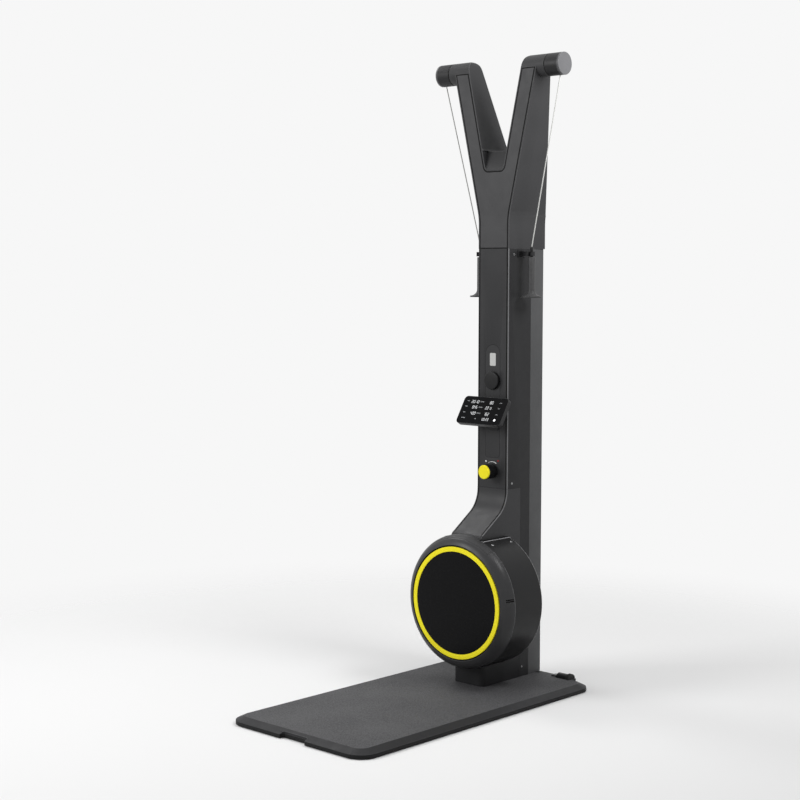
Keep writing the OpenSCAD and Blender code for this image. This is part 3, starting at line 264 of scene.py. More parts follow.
def pebbled(name, colour):
    """Anti-slip rubber with fine pebbles and random paler and darker speckles."""
    f = Finish(name, colour, 0.72)
    f.vary_colour(f.noise(sizes().mat_grain * 0.9, 5.0), 0.62, 1.42, 0.34, 0.66)
    f.vary_rough(f.noise(0.2, 3.0), 0.1, 0.06)
    f.bump(f.cells(sizes().mat_grain), 0.0006, 0.7)
    f.bump(f.noise(sizes().mat_grain * 0.4, 4.0), 0.0002)
    return f.material


def rubber(name, colour, roughness=0.6):
    """Soft rubber with a dull, uneven gloss."""
    f = Finish(name, colour, roughness)
    f.vary_colour(f.noise(0.02, 3.0), 0.85, 1.15)
    f.vary_rough(f.noise(0.01, 4.0), 0.07, 0.08)
    f.bump(f.noise(0.0007, 3.0), 0.00005)
    return f.material


def coated_steel(name, colour, roughness=0.45):
    """Powder-coated steel with a light orange peel."""
    f = Finish(name, colour, roughness)
    f.vary_colour(f.noise(0.08, 2.0), 0.92, 1.08)
    f.vary_rough(f.noise(0.006, 3.0), 0.06, 0.06)
    f.bump(f.noise(0.0016, 2.0), 0.00008)
    return f.material


def turned_metal(name, colour, roughness=0.3, stretch=(1, 14, 1)):
    """Bare metal with fine turning or brushing lines."""
    f = Finish(name, colour, roughness, metallic=1.0, shine=0.5)
    f.vary_rough(f.noise(0.004, 5.0, stretch), 0.1, 0.12)
    f.vary_colour(f.noise(0.02, 3.0, stretch), 0.9, 1.06)
    f.bump(f.noise(0.002, 4.0, stretch), 0.00003)
    return f.material


def gloss(name, colour, roughness, shine=0.2):
    """Smooth plastic with faint swirls and dust in its gloss."""
    f = Finish(name, colour, roughness, shine=shine)
    f.vary_colour(f.noise(0.1, 2.0), 0.96, 1.04)
    f.vary_rough(f.noise(0.015, 4.0), 0.05, 0.07)
    f.bump(f.noise(0.004, 2.0), 0.000012)
    return f.material


def braided(name, colour):
    """Braided cord: diagonal strands, darker in their grooves as painted shade."""
    f = Finish(name, colour, 0.7)
    strands = f.texture("ShaderNodeTexWave", "Fac", bands_direction="DIAGONAL", Scale=0.55 / sizes().braid)
    # Painted shade: the colour follows the strands' height, darker in the grooves as painted shade and a
    # little lighter on the crests as painted highlight.
    f.vary_colour(strands, 0.7, 1.1, 0.2, 0.8)
    f.vary_rough(f.noise(0.002), 0.1, 0.1)
    f.bump(strands, 0.0002)
    return f.material


def printed(name, colour, light=0.0):
    """Thin print, or lit digits where light is above zero."""
    f = Finish(name, colour, 0.5)
    f.vary_colour(f.noise(0.002, 3.0), 0.94, 1.04)
    f.vary_rough(f.noise(0.004), 0.08, 0.05)
    if light:
        f.shader.inputs["Emission Color"].default_value = f.colour
        f.shader.inputs["Emission Strength"].default_value = light
    return f.material


# Meshes

MERGE = 2e-6  # corners of a CAD solid that are nearer than this are one corner
TINY = 1e-6  # lengths under this are nothing
LEVEL = 1e-5  # faces within this depth are in one plane
FLAT = 0.6  # degrees under which two faces are one flat face
CLEAR = 1e-4  # where a ray from an edge starts, so that it misses the edge's own faces
SHELTERED = 0.05  # an edge that has a face this near in front of it is an inner edge
NARROW = 0.45  # share of a narrow face's width that its rounded edge may take
TURNED = 0.85  # a corner's normal is mended where its dot with its face's normal is under this
UPRIGHT = 0.99  # a direction counts as along an axis when its share of it is over this


def solid(node):
    """The mesh of a CAD node."""
    return frame["nodes"][node].data


def link(name, mesh, body, material):
    """Puts a mesh in the scene with its finish, on a body where one is named."""
    mesh.name = name
    piece = bpy.data.objects.new(name, mesh)
    bpy.context.scene.collection.objects.link(piece)
    piece.data.materials.append(material)
    if body:
        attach(piece, body)
    return piece


def stand_in(node, name, mesh, material):
    """Puts a mesh in the place of a CAD node, on that node's body."""
    piece = link(name, mesh, NODE_BODY[node], material)
    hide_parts(node)
    return piece


def mesh_from(bm, angle=35.0):
    """Turns a bmesh into a mesh with smooth faces that are sharp where they meet at more than the angle."""
    bmesh.ops.recalc_face_normals(bm, faces=bm.faces)
    mesh = bpy.data.meshes.new("mesh")
    bm.to_mesh(mesh)
    bm.free()
    mesh.shade_smooth()
    mesh.set_sharp_from_angle(angle=math.radians(angle))
    return mesh


def apply_modifiers(piece):
    """Makes a piece's modified shape its own mesh."""
    bpy.context.view_layer.update()
    depsgraph = bpy.context.evaluated_depsgraph_get()
    made = bpy.data.meshes.new_from_object(piece.evaluated_get(depsgraph))
    piece.modifiers.clear()
    piece.data = made


def weigh_edges(bm, width, angle, only):
    """Marks the outer edges to round, and rounds less where a face beside the edge is narrow."""
    bm.normal_update()
    weights = bm.edges.layers.float.new("bevel_weight_edge")
    tree = BVHTree.FromBMesh(bm)
    for line in bm.edges:
        if len(line.link_faces) != 2 or line.calc_face_angle_signed(0.0) < angle:
            continue
        if only and not only(line):
            continue
        out = (line.link_faces[0].normal + line.link_faces[1].normal).normalized()
        middle = (line.verts[0].co + line.verts[1].co) / 2
        if tree.ray_cast(middle + out * CLEAR, out, SHELTERED)[0] is not None:
            continue
        along = (line.verts[1].co - line.verts[0].co).normalized()
        room = min(max((v.co - middle).cross(along).length for v in face.verts) for face in line.link_faces)
        line[weights] = min(1.0, NARROW * room / width)


def mend_normals(mesh):
    """Corners whose shading turns away from their face take the face's own normal."""
    normals = [corner.vector.copy() for corner in mesh.corner_normals]
    for face in mesh.polygons:
        for corner in face.loop_indices:
            if normals[corner].dot(face.normal) < TURNED:
                normals[corner] = face.normal.copy()
    mesh.normals_split_custom_set(normals)


def cover(node, material, edge, angle=34.0, edges=None, cut=None, marks=(), border=None, only=None):
    """A cover with the CAD solid's faces and moulded, rounded edges.

    edges is the finish of the rounded edges, cut the distance from the middle at which faces are split,
    and marks pairs of a finish and a test of a face's middle and normal. border is a width and a finish
    for a line round the front face, and only a test that names the edges to round.
    """
    bm = bmesh.new()
    bm.from_mesh(solid(node))
    bmesh.ops.remove_doubles(bm, verts=bm.verts, dist=MERGE)
    bmesh.ops.dissolve_degenerate(bm, dist=TINY, edges=bm.edges)
    bmesh.ops.dissolve_limit(bm, angle_limit=math.radians(FLAT), verts=bm.verts, edges=bm.edges)
    bmesh.ops.triangulate(bm, faces=[f for f in bm.faces if len(f.verts) > 4])
    for x in (-cut, cut) if cut else ():
        bmesh.ops.bisect_plane(bm, geom=[*bm.verts, *bm.edges, *bm.faces], dist=TINY,
                               plane_co=(x, 0, 0), plane_no=(1, 0, 0))
    finishes = []
    if border:
        width, finish = border
        front = [f for f in bm.faces if f.normal.y < -UPRIGHT]
        near = min(f.calc_center_median().y for f in front)
        front = [f for f in front if f.calc_center_median().y < near + LEVEL]
        line = bmesh.ops.inset_region(bm, faces=front, thickness=width, use_even_offset=True)["faces"]
        finishes.append(finish)
        for face in line:
            face.material_index = len(finishes)
    for finish, chosen in marks:
        finishes.append(finish)
        for face in bm.faces:
            if chosen(face.calc_center_median(), face.normal):
                face.material_index = len(finishes)
    if edge > 0:
        weigh_edges(bm, edge, math.radians(angle), only)
    piece = stand_in(node, node + "_dressed", mesh_from(bm, angle), material)
    for finish in finishes:
        piece.data.materials.append(finish)
    if edge > 0:
        bevel = piece.modifiers.new("edges", "BEVEL")
        bevel.width = edge
        bevel.segments = 3
        bevel.limit_method = "WEIGHT"
        bevel.use_clamp_overlap = True
        bevel.harden_normals = True
        bevel.miter_outer = "MITER_ARC"
        if edges:
            piece.data.materials.append(edges)
            bevel.material = len(piece.data.materials) - 1
        apply_modifiers(piece)
        mend_normals(piece.data)


def disc_outline(radius, steps, centre=(0, 0)):
    """Outline points of a disc."""
    turns = [2 * math.pi * i / steps for i in range(steps)]
    return [(centre[0] + radius * math.cos(a), centre[1] + radius * math.sin(a)) for a in turns]


def rounded_box(width, height, radius, centre=(0, 0), steps=6):
    """Outline points of a rounded rectangle."""
    points = []
    for cx, cy, start in ((1, 1, 0), (-1, 1, 90), (-1, -1, 180), (1, -1, 270)):
        for i in range(steps + 1):
            a = math.radians(start + 90 * i / steps)
            points.append((centre[0] + cx * (width / 2 - radius) + radius * math.cos(a),
                           centre[1] + cy * (height / 2 - radius) + radius * math.sin(a)))
    return points


def skin(bm, rings):
    """Joins rings of as many corners each by four-sided faces."""
    for low, high in zip(rings, rings[1:]):
        for i in range(len(low)):
            j = (i + 1) % len(low)
            bm.faces.new((low[i], low[j], high[j], high[i]))


def lathe(profile, place, steps=96, angle=35.0):
    """A turned mesh: profile points are [radius, height], turned about the place's Z axis."""
    bm = bmesh.new()
    rings = []
    for radius, height in profile:
        outline = disc_outline(radius, steps) if radius else [(0, 0)]
        rings.append([bm.verts.new((x, y, height)) for x, y in outline])
    for low, high in zip(rings, rings[1:]):
        for i in range(steps):
            j = (i + 1) % steps
            corners = dict.fromkeys((low[i % len(low)], low[j % len(low)], high[j % len(high)],
                                     high[i % len(high)]))
            if len(corners) > 2:  # two rings at the axis have no face between them
                bm.faces.new(tuple(corners))
    bmesh.ops.transform(bm, matrix=place, verts=bm.verts)
    return mesh_from(bm, angle)


def prism(bm, outline, low, high, place):
    """Adds a closed prism: outline points are [x, y], between two heights."""
    bottom, top = ([bm.verts.new(place @ Vector((x, y, height))) for x, y in outline]
                   for height in (low, high))
    bm.faces.new(bottom[::-1])
    bm.faces.new(top)
    skin(bm, (bottom, top))


def add_print(name, outlines, place, low, thick, body, material):
    """Raised print: closed outlines at a place, a little thick from a low height."""
    bm = bmesh.new()
    for outline in outlines:
        prism(bm, outline, low, low + thick, place)
    link(name, mesh_from(bm), body, material)


def facing(place, direction):
    """A matrix at a place, whose Z axis points along a direction and whose Y axis is up where it can be."""
    out = Vector(direction).normalized()
    up = Vector((0, 0, 1)) if abs(out.z) < UPRIGHT else Vector((0, 1, 0))
    right = up.cross(out).normalized()
    turned = Matrix((right, out.cross(right), out)).transposed().to_4x4()
    return Matrix.Translation(place) @ turned


def dress(nodes, material):
    """Gives CAD nodes their finish."""
    for name in nodes:
        solid(name).materials.clear()
        solid(name).materials.append(material)


# Places measured on the frame, in metres


def centre_of(node):
    """The middle of a CAD node's box."""
    low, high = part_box(node)
    return (low + high) / 2


COLUMN_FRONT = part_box("column_front_panel")[0].y
PANEL_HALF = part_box("column_front_panel")[1].x
RING_LOW, RING_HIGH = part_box("yellow_ring")
KNOB_LOW, KNOB_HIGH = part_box("knob_body")
GLASS_LOW, GLASS_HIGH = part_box("display_glass")
FORWARD = (0, -1, 0)
NECK_FOOT = 0.5415  # above this height the neck's long edges are rounded
GAP_FOOT, GAP_STEP = 0.56, 0.0013  # above this height the neck has a gap by a step this wide, painted near black as the gap's shade
LABEL_HEIGHT = 1.139  # middle of the bare label place on the column
DRUM_SCREW = Vector((0.1062, 0.0, 0.5214))  # place of a screw on the drum's slope
DRUM_SLOPE = Vector((0.455, 0.0, 0.89))  # the way that slope faces
PULLEY_RUN = 0.014  # radius at which a cord runs over a pulley
SPOOL_RUN = 0.04  # distance from the middle at which a cord runs down to its spool


class SkiOperator(bpy.types.Operator):
    """Base of the operators that make the pieces."""
    bl_options = {"REGISTER", "UNDO"}


class SKI_OT_platform(SkiOperator):
    """Tray, sloped border, pebbled mat and rubber feet"""
    bl_idname = "ski.platform"
    bl_label = "Platform"

    def execute(self, context):
        c, s = colours(), sizes()
        cover("base_tray", moulded("tray_plastic", c.tray, 0.55), s.cover_edge)
        # The border's rounded edges are painted lighter as a highlight.
        cover("deck_cover", moulded("border_plastic", c.border, 0.5), s.border_edge, 8.0,
              edges=moulded("border_rim_highlight", c.rim, 0.45))
        cover("deck_mat", pebbled("mat_rubber", c.mat), 0.0)
        dress(["rubber_feet"], rubber("foot_rubber", SLOT_COLOUR["foot_rubber"]))
        return {"FINISHED"}


class SKI_OT_wheels(SkiOperator):
    """Transport wheels with grooved treads, and their brackets"""
    bl_idname = "ski.wheels"
    bl_label = "Transport wheels"

    def execute(self, context):
        s = sizes()
        tyre = rubber("wheel_rubber", SLOT_COLOUR["wheel_tyre"], 0.5)
        cover("wheel_brackets", moulded("bracket_plastic", SLOT_COLOUR["bracket_black"], 0.42), s.fine_edge)
        bore, groove, wide, narrow = 0.00405, 0.0009, 0.0012, 0.0007
        for side in SIDES:
            node = side + "_wheel"
            low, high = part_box(node)
            radius, width = (high.z - low.z) / 2, high.x - low.x
            profile = [(bore, 0), (0.0085, 0), (0.0095, 0.0012), (0.0125, 0.0012), (0.0135, 0),
                       (radius - 0.0022, 0.0006), (radius - 0.0007, 0.0014), (radius, 0.0028)]
            shoulder = profile[::-1]
            for i in range(s.treads):
                middle = width * (i + 1) / (s.treads + 1)
                profile += [(radius, middle - wide), (radius - groove, middle - narrow),
                            (radius - groove, middle + narrow), (radius, middle + wide)]
            profile += [(r, width - h) for r, h in shoulder]
            profile.append(profile[0])
            place = facing((low.x, *centre_of(node).yz), (1, 0, 0))
            stand_in(node, node + "_turned", lathe(profile, place, 72), tyre)
        return {"FINISHED"}


class SKI_OT_column(SkiOperator):
    """Covers of the column and the foot, with their thin gaps painted near black as shade and their front
    edges painted pale as highlights
    """
    bl_idname = "ski.column"
    bl_label = "Column"

    def execute(self, context):
        c, s = colours(), sizes()
        covers = moulded("cover_plastic", c.covers)
        # A pale finish painted on the covers' front corners and the neck's long edges as their highlight.
        painted_highlight = moulded("edge_highlight_paint", c.edge, 0.36)
        # Near black painted beside the front panel, on the control strip's edges and beside the neck as the
        # gaps' shade.
        gap = moulded("gap_shadow", c.gap, 0.8)
        panel = PANEL_HALF - s.gap
        for side in SIDES:
            cover(side + "_side_cover", covers, s.fine_edge,
                  marks=((painted_highlight, self.highlighted_corner), (gap, self.gap_side)))
        cover("rear_cover", moulded("rear_plastic", c.rear), s.fine_edge)
        cover("column_front_panel", moulded("panel_plastic", c.panels), s.fine_edge, cut=panel,
              marks=((gap, lambda at, out: abs(at.x) > panel),))
        cover("control_strip", moulded("strip_plastic", c.panels, 0.42), s.thin_edge, edges=gap)
        cover("foot_cover", moulded("foot_plastic", c.foot, 0.46), s.fine_edge)
        # The neck's grey is raised above the side covers' as painted light.
        cover("neck_cover", moulded("neck_cover_plastic", c.neck, 0.44, mottle=0.02), s.shell_edge, 30.0,
              # The neck's long rounded edges are painted pale as a highlight.
              edges=painted_highlight, cut=panel, only=self.neck_edge,
              marks=((gap, lambda at, out: at.z > GAP_FOOT and panel < abs(at.x) < PANEL_HALF + GAP_STEP),))
        return {"FINISHED"}

    @staticmethod
    def highlighted_corner(at, out):
        """True for the sloped faces on the front corners of a side cover, which are painted pale as a
        highlight.
        """
        depth, sideways, forward = 0.0031, 0.12, -0.06
        return at.y < COLUMN_FRONT + depth and abs(out.x) > sideways and out.y < forward

    @staticmethod
    def gap_side(at, out):
        """True for a side cover's front faces, which are painted near black as the gap's shade."""
        depth, sideways = 0.0005, 0.1
        return at.y < COLUMN_FRONT + depth and abs(out.x) < sideways

    @staticmethod
    def neck_edge(line):
        """True for the long edges between the neck's sweep and its sides."""
        if min(v.co.z for v in line.verts) < NECK_FOOT:
            return False
        upright, level, forward, margin = 0.95, 0.2, -0.1, 0.003
        side, sweep = sorted(line.link_faces, key=lambda f: -abs(f.normal.x))
        return (abs(side.normal.x) > upright and abs(sweep.normal.x) < level and sweep.normal.y < forward
                and min(abs(v.co.x) for v in line.verts) > PANEL_HALF + margin)


class SKI_OT_head(SkiOperator):
    """Forked head and its front panel"""
    bl_idname = "ski.head"
    bl_label = "Head"

    def execute(self, context):
        c, s = colours(), sizes()
        # The head's lighter grey is painted light, and its rounded edges are painted lighter still as a
        # highlight.
        cover("head_shell", moulded("head_plastic", c.head), s.cover_edge, 30.0,
              edges=moulded("head_edge_plastic", c.head_edge, 0.4))
        # The head panel's lighter grey is painted light.
        cover("head_front_panel", moulded("head_panel_plastic", c.head_panel), 0.0,
              # A line round the panel is painted near black as the gap's shade.
              border=(s.gap, moulded("head_gap_shadow", c.gap, 0.8)))
        return {"FINISHED"}


class SKI_OT_drum(SkiOperator):
    """Drum, ring housing, yellow ring and domed disc"""
    bl_idname = "ski.drum"
    bl_label = "Drum"

    def execute(self, context):
        c, s = colours(), sizes()
        # The drum's rounded back edge is painted pale as a highlight.
        cover("drum_housing", moulded("drum_plastic", c.drum, 0.34), s.drum_edge,
              edges=moulded("drum_edge_plastic", c.drum_rim, 0.3))
        cover("ring_housing", moulded("ring_plastic", c.ring, 0.34), s.ring_edge, 30.0)
        self.disc(gloss("disc_plastic", c.disc, 0.24, shine=0.06))
        cover("yellow_ring", gloss("accent_plastic", c.accent, 0.36, shine=0.08), 0.0)
        return {"FINISHED"}

    @staticmethod
    def disc(material):
        """The domed disc in one smooth turn, with its flange behind the yellow ring."""
        clear, proud, wall, thick, steps = 0.0009, 0.001, 0.007, 0.006, 28
        low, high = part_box("front_disc")
        level = centre_of("yellow_ring").z
        rim = (high.x - low.x) / 2
        inner = min(math.hypot(v.co.x, v.co.z - level) for v in solid("yellow_ring").vertices)
        hub, dome = inner - clear, RING_LOW.y + proud - low.y
        ball = (hub ** 2 + dome ** 2) / (2 * dome)
        radii = [hub * i / steps for i in range(steps + 1)]
        crown = [(r, math.sqrt(ball ** 2 - r ** 2) - ball) for r in radii]
        back, channel, floor = low.y - high.y, low.y - RING_HIGH.y, low.y - RING_LOW.y - thick
        profile = crown + [(hub, channel), (rim, channel), (rim, back), (hub - wall, back),
                           (hub - wall, floor), (0, floor)]
        mesh = lathe(profile, facing((0, low.y, level), FORWARD), 160)
        stand_in("front_disc", "front_disc_turned", mesh, material)


class SKI_OT_swivels(SkiOperator):
    """Swivel housings and their flat end caps"""
    bl_idname = "ski.swivels"
    bl_label = "Swivels"

    def execute(self, context):
        c, s = colours(), sizes()
        body = moulded("swivel_plastic", c.swivel, 0.45)
        # Near black painted on each housing's inner end as the seam's shade.
        gap = moulded("swivel_gap_shadow", c.gap, 0.8)
        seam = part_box("right_swivel_housing")[0].x + s.gap
        cap = coated_steel("cap_paint", c.cap, 0.4)
        low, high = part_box("right_end_cap")
        deep, radius = high.x - low.x, (high.z - low.z) / 2
        face = [(0, deep), (radius * 0.9, deep), (radius * 0.93, deep - 0.0001),
                (radius - 0.0012, deep - 0.0003), (radius - 0.0003, deep - 0.0009), (radius, deep - 0.0018),
                (radius, 0), (0, 0)]
        for side, sign in SIDES.items():
            cover(side + "_swivel_housing", body, s.fine_edge, cut=seam,
                  marks=((gap, lambda at, out: abs(at.x) < seam),))
            place = facing((sign * low.x, *centre_of("right_swivel_housing").yz), (sign, 0, 0))
            stand_in(side + "_end_cap", side + "_cap_turned", lathe(face, place, angle=20), cap)
        return {"FINISHED"}


class SKI_OT_cords(SkiOperator):
    """Braided pull cords that stretch between swivel and handle"""
    bl_idname = "ski.cords"
    bl_label = "Pull cords"

    def execute(self, context):
        braid = braided("cord_braid", colours().cord)
        radius, rings = sizes().cord_radius, 60
        for side, sign in SIDES.items():
            low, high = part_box(side + "_cord")
            outer = max(abs(low.x), abs(high.x)) - radius
            inner = min(abs(low.x), abs(high.x)) + radius
            top = Vector((sign * outer, low.y + radius, high.z))
            bottom = Vector((sign * inner, high.y - radius, low.z))
            along = top - bottom
            spin = along.to_track_quat("Z", "Y").to_matrix().to_4x4()
            run = [(radius, along.length * i / rings) for i in range(rings + 1)]
            mesh = lathe([(0, 0), *run, (0, along.length)], Matrix.Translation(bottom) @ spin, 16, 60)
            piece = link(side + "_cord_braided", mesh, None, braid)
            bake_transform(piece)
            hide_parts(side + "_cord")
        self.inside(braid)
        return {"FINISHED"}

    def inside(self, braid):
        """The cords' runs over the pulleys and down to the spools."""
        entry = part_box("right_guide_cord")[0]
        swivel, arm, roller = (centre_of("right" + name) for name in ROLLERS)
        level = swivel.z + PULLEY_RUN
        lean = math.degrees(math.atan2(arm.x - PULLEY_RUN - SPOOL_RUN, arm.z - roller.z))
        run = self.arc(swivel, PULLEY_RUN, 90, 0)
        guide = [Vector((entry.x, swivel.y, level)), *run, Vector((run[-1].x, swivel.y, entry.z))]
        for side, sign in SIDES.items():
            path = [Vector((entry.x, arm.y, level)), *self.arc(arm, PULLEY_RUN, 90, 180 - lean),
                    *self.arc(roller, roller.x - SPOOL_RUN, 180 - lean, 180),
                    Vector((SPOOL_RUN, centre_of(side + "_spool").y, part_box("inner_cords")[0].z))]
            for name, points, node in (("_guide_cord_braided", guide, side + "_guide_cord"),
                                       ("_inner_cord_braided", path, "inner_cords")):
                mesh = self.tube([Vector((p.x * sign, p.y, p.z)) for p in points])
                stand_in(node, side + name, mesh, braid)

    @staticmethod
    def arc(centre, radius, start, end, steps=14):
        """Places along an arc in the plane of X and Z, between two angles in degrees."""
        turns = [math.radians(start + (end - start) * i / steps) for i in range(steps + 1)]
        return [centre + Vector((radius * math.cos(a), 0, radius * math.sin(a))) for a in turns]

    @staticmethod
    def tube(points):
        """A closed round tube of the cord's radius through the points."""
        bm = bmesh.new()
        outline = disc_outline(sizes().cord_radius, 16)
        rings = []
        for i, point in enumerate(points):
            along = (points[min(i + 1, len(points) - 1)] - points[max(i - 1, 0)]).normalized()
            across = Vector((0, 1, 0)).cross(along).normalized()
            over = along.cross(across)
            rings.append([bm.verts.new(point + across * x + over * y) for x, y in outline])
        skin(bm, rings)
        bm.faces.new(rings[0][::-1])
        bm.faces.new(rings[-1])
        return mesh_from(bm, 60)


class SKI_OT_handles(SkiOperator):
    """Grips with flared pommels, necks, and the hooks that hold them"""
    bl_idname = "ski.handles"
    bl_label = "Handles"

    def execute(self, context):
        c, s = colours(), sizes()
        grip = rubber("grip_rubber", c.grip, 0.48)
        neck = gloss("neck_plastic", SLOT_COLOUR["neck_black"], 0.3)
        for side in SIDES:
            cover(side + "_grip", grip, 0.0)
            cover(side + "_neck", neck, 0.0)
        cover("handle_hooks", moulded("hook_plastic", SLOT_COLOUR["bracket_black"], 0.4), s.fine_edge)
        return {"FINISHED"}


# Strokes of a digit and dots of a colon: width, height and middle as shares of the digit's height
STROKES = {"a": (0.42, 0.14, 0.25, 1.0), "g": (0.42, 0.14, 0.25, 0.5), "d": (0.42, 0.14, 0.25, 0.0),
           "f": (0.14, 0.46, 0.0, 0.75), "b": (0.14, 0.46, 0.5, 0.75),
           "e": (0.14, 0.46, 0.0, 0.25), "c": (0.14, 0.46, 0.5, 0.25),
           ".": (0.14, 0.14, 0.1, 0.3), "'": (0.14, 0.14, 0.1, 0.68)}
SEGMENTS = {"0": "abcdef", "1": "bc", "2": "abged", "3": "abgcd", "4": "fgbc", "5": "afgcd",
            "6": "afgedc", "7": "abc", "8": "abcdefg", "9": "abcdfg", ":": ".'"}
DIGIT_STEP, COLON_STEP, STROKE_CORNER = 0.74, 0.3, 0.028
# On the display's face, from its middle: readings with their right end, and rows of small caption marks
READINGS = (("20:10", -0.0255, 0.0265, 1), ("80", 0.038, 0.0265, 1), ("845", -0.0245, 0.0055, 1),
            ("22", 0.026, 0.0055, 1), ("0", 0.038, 0.0055, 0.8), ("420", -0.0225, -0.018, 1),
            ("162", 0.0375, -0.018, 1), ("00:23", 0.0435, -0.0375, 0.86))
CAPTIONS = ((-0.079, 0.0335, 3), (-0.0205, 0.033, 5), (-0.0795, 0.0125, 3), (-0.019, 0.0118, 5),
            (-0.0795, -0.0105, 3), (-0.0185, -0.0112, 5), (-0.078, -0.032, 5), (-0.018, -0.033, 2))
ARROWS = ((0.0325, 1), (0.0115, -1), (-0.0125, 1))  # height, and up or down
KEYS_X, KEY_Y, KEY_RADIUS = 0.0695, -0.0335, 0.0046
MARK_WIDTH, MARK_HEIGHTS, MARK_CORNER, MARK_STEP = 0.0022, (0.0028, 0.0038), 0.0005, 0.0035
ARROW_REACH, ARROW_RISE, ARROW_WIDTH = 0.0048, 0.002, 0.0012


def digit_outlines(text, x, y, height):
    """Outlines of plain seven-stroke digits that end at x."""
    steps = [height * (COLON_STEP if ch == ":" else DIGIT_STEP) for ch in text]
    left = x - sum(steps)
    outlines = []
    for ch, step in zip(text, steps):
        for wide, tall, across, up in (STROKES[part] for part in SEGMENTS[ch]):
            outlines.append(rounded_box(wide * height, tall * height, STROKE_CORNER * height,
                                        (left + across * height, y + up * height), 1))
        left += step
    return outlines


class SKI_OT_display(SkiOperator):
    """Tilted display with its glass, lit digits, touch keys and bracket"""
    bl_idname = "ski.display"
    bl_label = "Display"

    def execute(self, context):
        c, s = colours(), sizes()
        cover("display_housing", moulded("display_plastic", SLOT_COLOUR["display_black"], 0.4), s.fine_edge)
        cover("display_glass", gloss("display_glass", c.glass, 0.2, shine=0.05), s.thin_edge)
        cover("display_bracket", moulded("stand_plastic", SLOT_COLOUR["bracket_black"], 0.42), s.fine_edge)
        lean = math.atan2(GLASS_HIGH.y - GLASS_LOW.y, GLASS_HIGH.z - GLASS_LOW.z)
        face = Matrix.Translation(centre_of("display_glass")) @ Matrix.Rotation(math.pi / 2 - lean, 4, "X")
        clear, thick = 0.00005, 0.0002
        lift = clear + max((face.inverted() @ v.co).z for v in solid("display_glass").vertices)
        digits = sum((digit_outlines(text, x, y, s.digit * size) for text, x, y, size in READINGS), [])
        marks = [rounded_box(MARK_WIDTH, MARK_HEIGHTS[i % 2], MARK_CORNER, (x + MARK_STEP * i, y), 2)
                 for x, y, count in CAPTIONS for i in range(count)]
        marks += [self.stroke((KEYS_X, y + ARROW_RISE * up),
                              (KEYS_X + sign * ARROW_REACH, y - ARROW_RISE * up))
                  for y, up in ARROWS for sign in (-1, 1)]
        for name, outlines, finish in (
                ("display_digits", digits, printed("digit_light", c.digits, 0.42)),
                ("display_marks", marks, printed("mark_light", (0.3, 0.31, 0.32), 0.12)),
                ("display_key", [disc_outline(KEY_RADIUS, 24, (KEYS_X, KEY_Y))],
                 printed("key_light", (0.85, 0.86, 0.87), 0.6))):
            add_print(name, outlines, face, lift, thick, "display", finish)
        return {"FINISHED"}

    @staticmethod
    def stroke(start, end):
        """Outline of a straight stroke between two places."""
        a, b = Vector(start), Vector(end)
        off = (b - a).orthogonal().normalized() * ARROW_WIDTH / 2
        return [a + off, a - off, b - off, b + off]


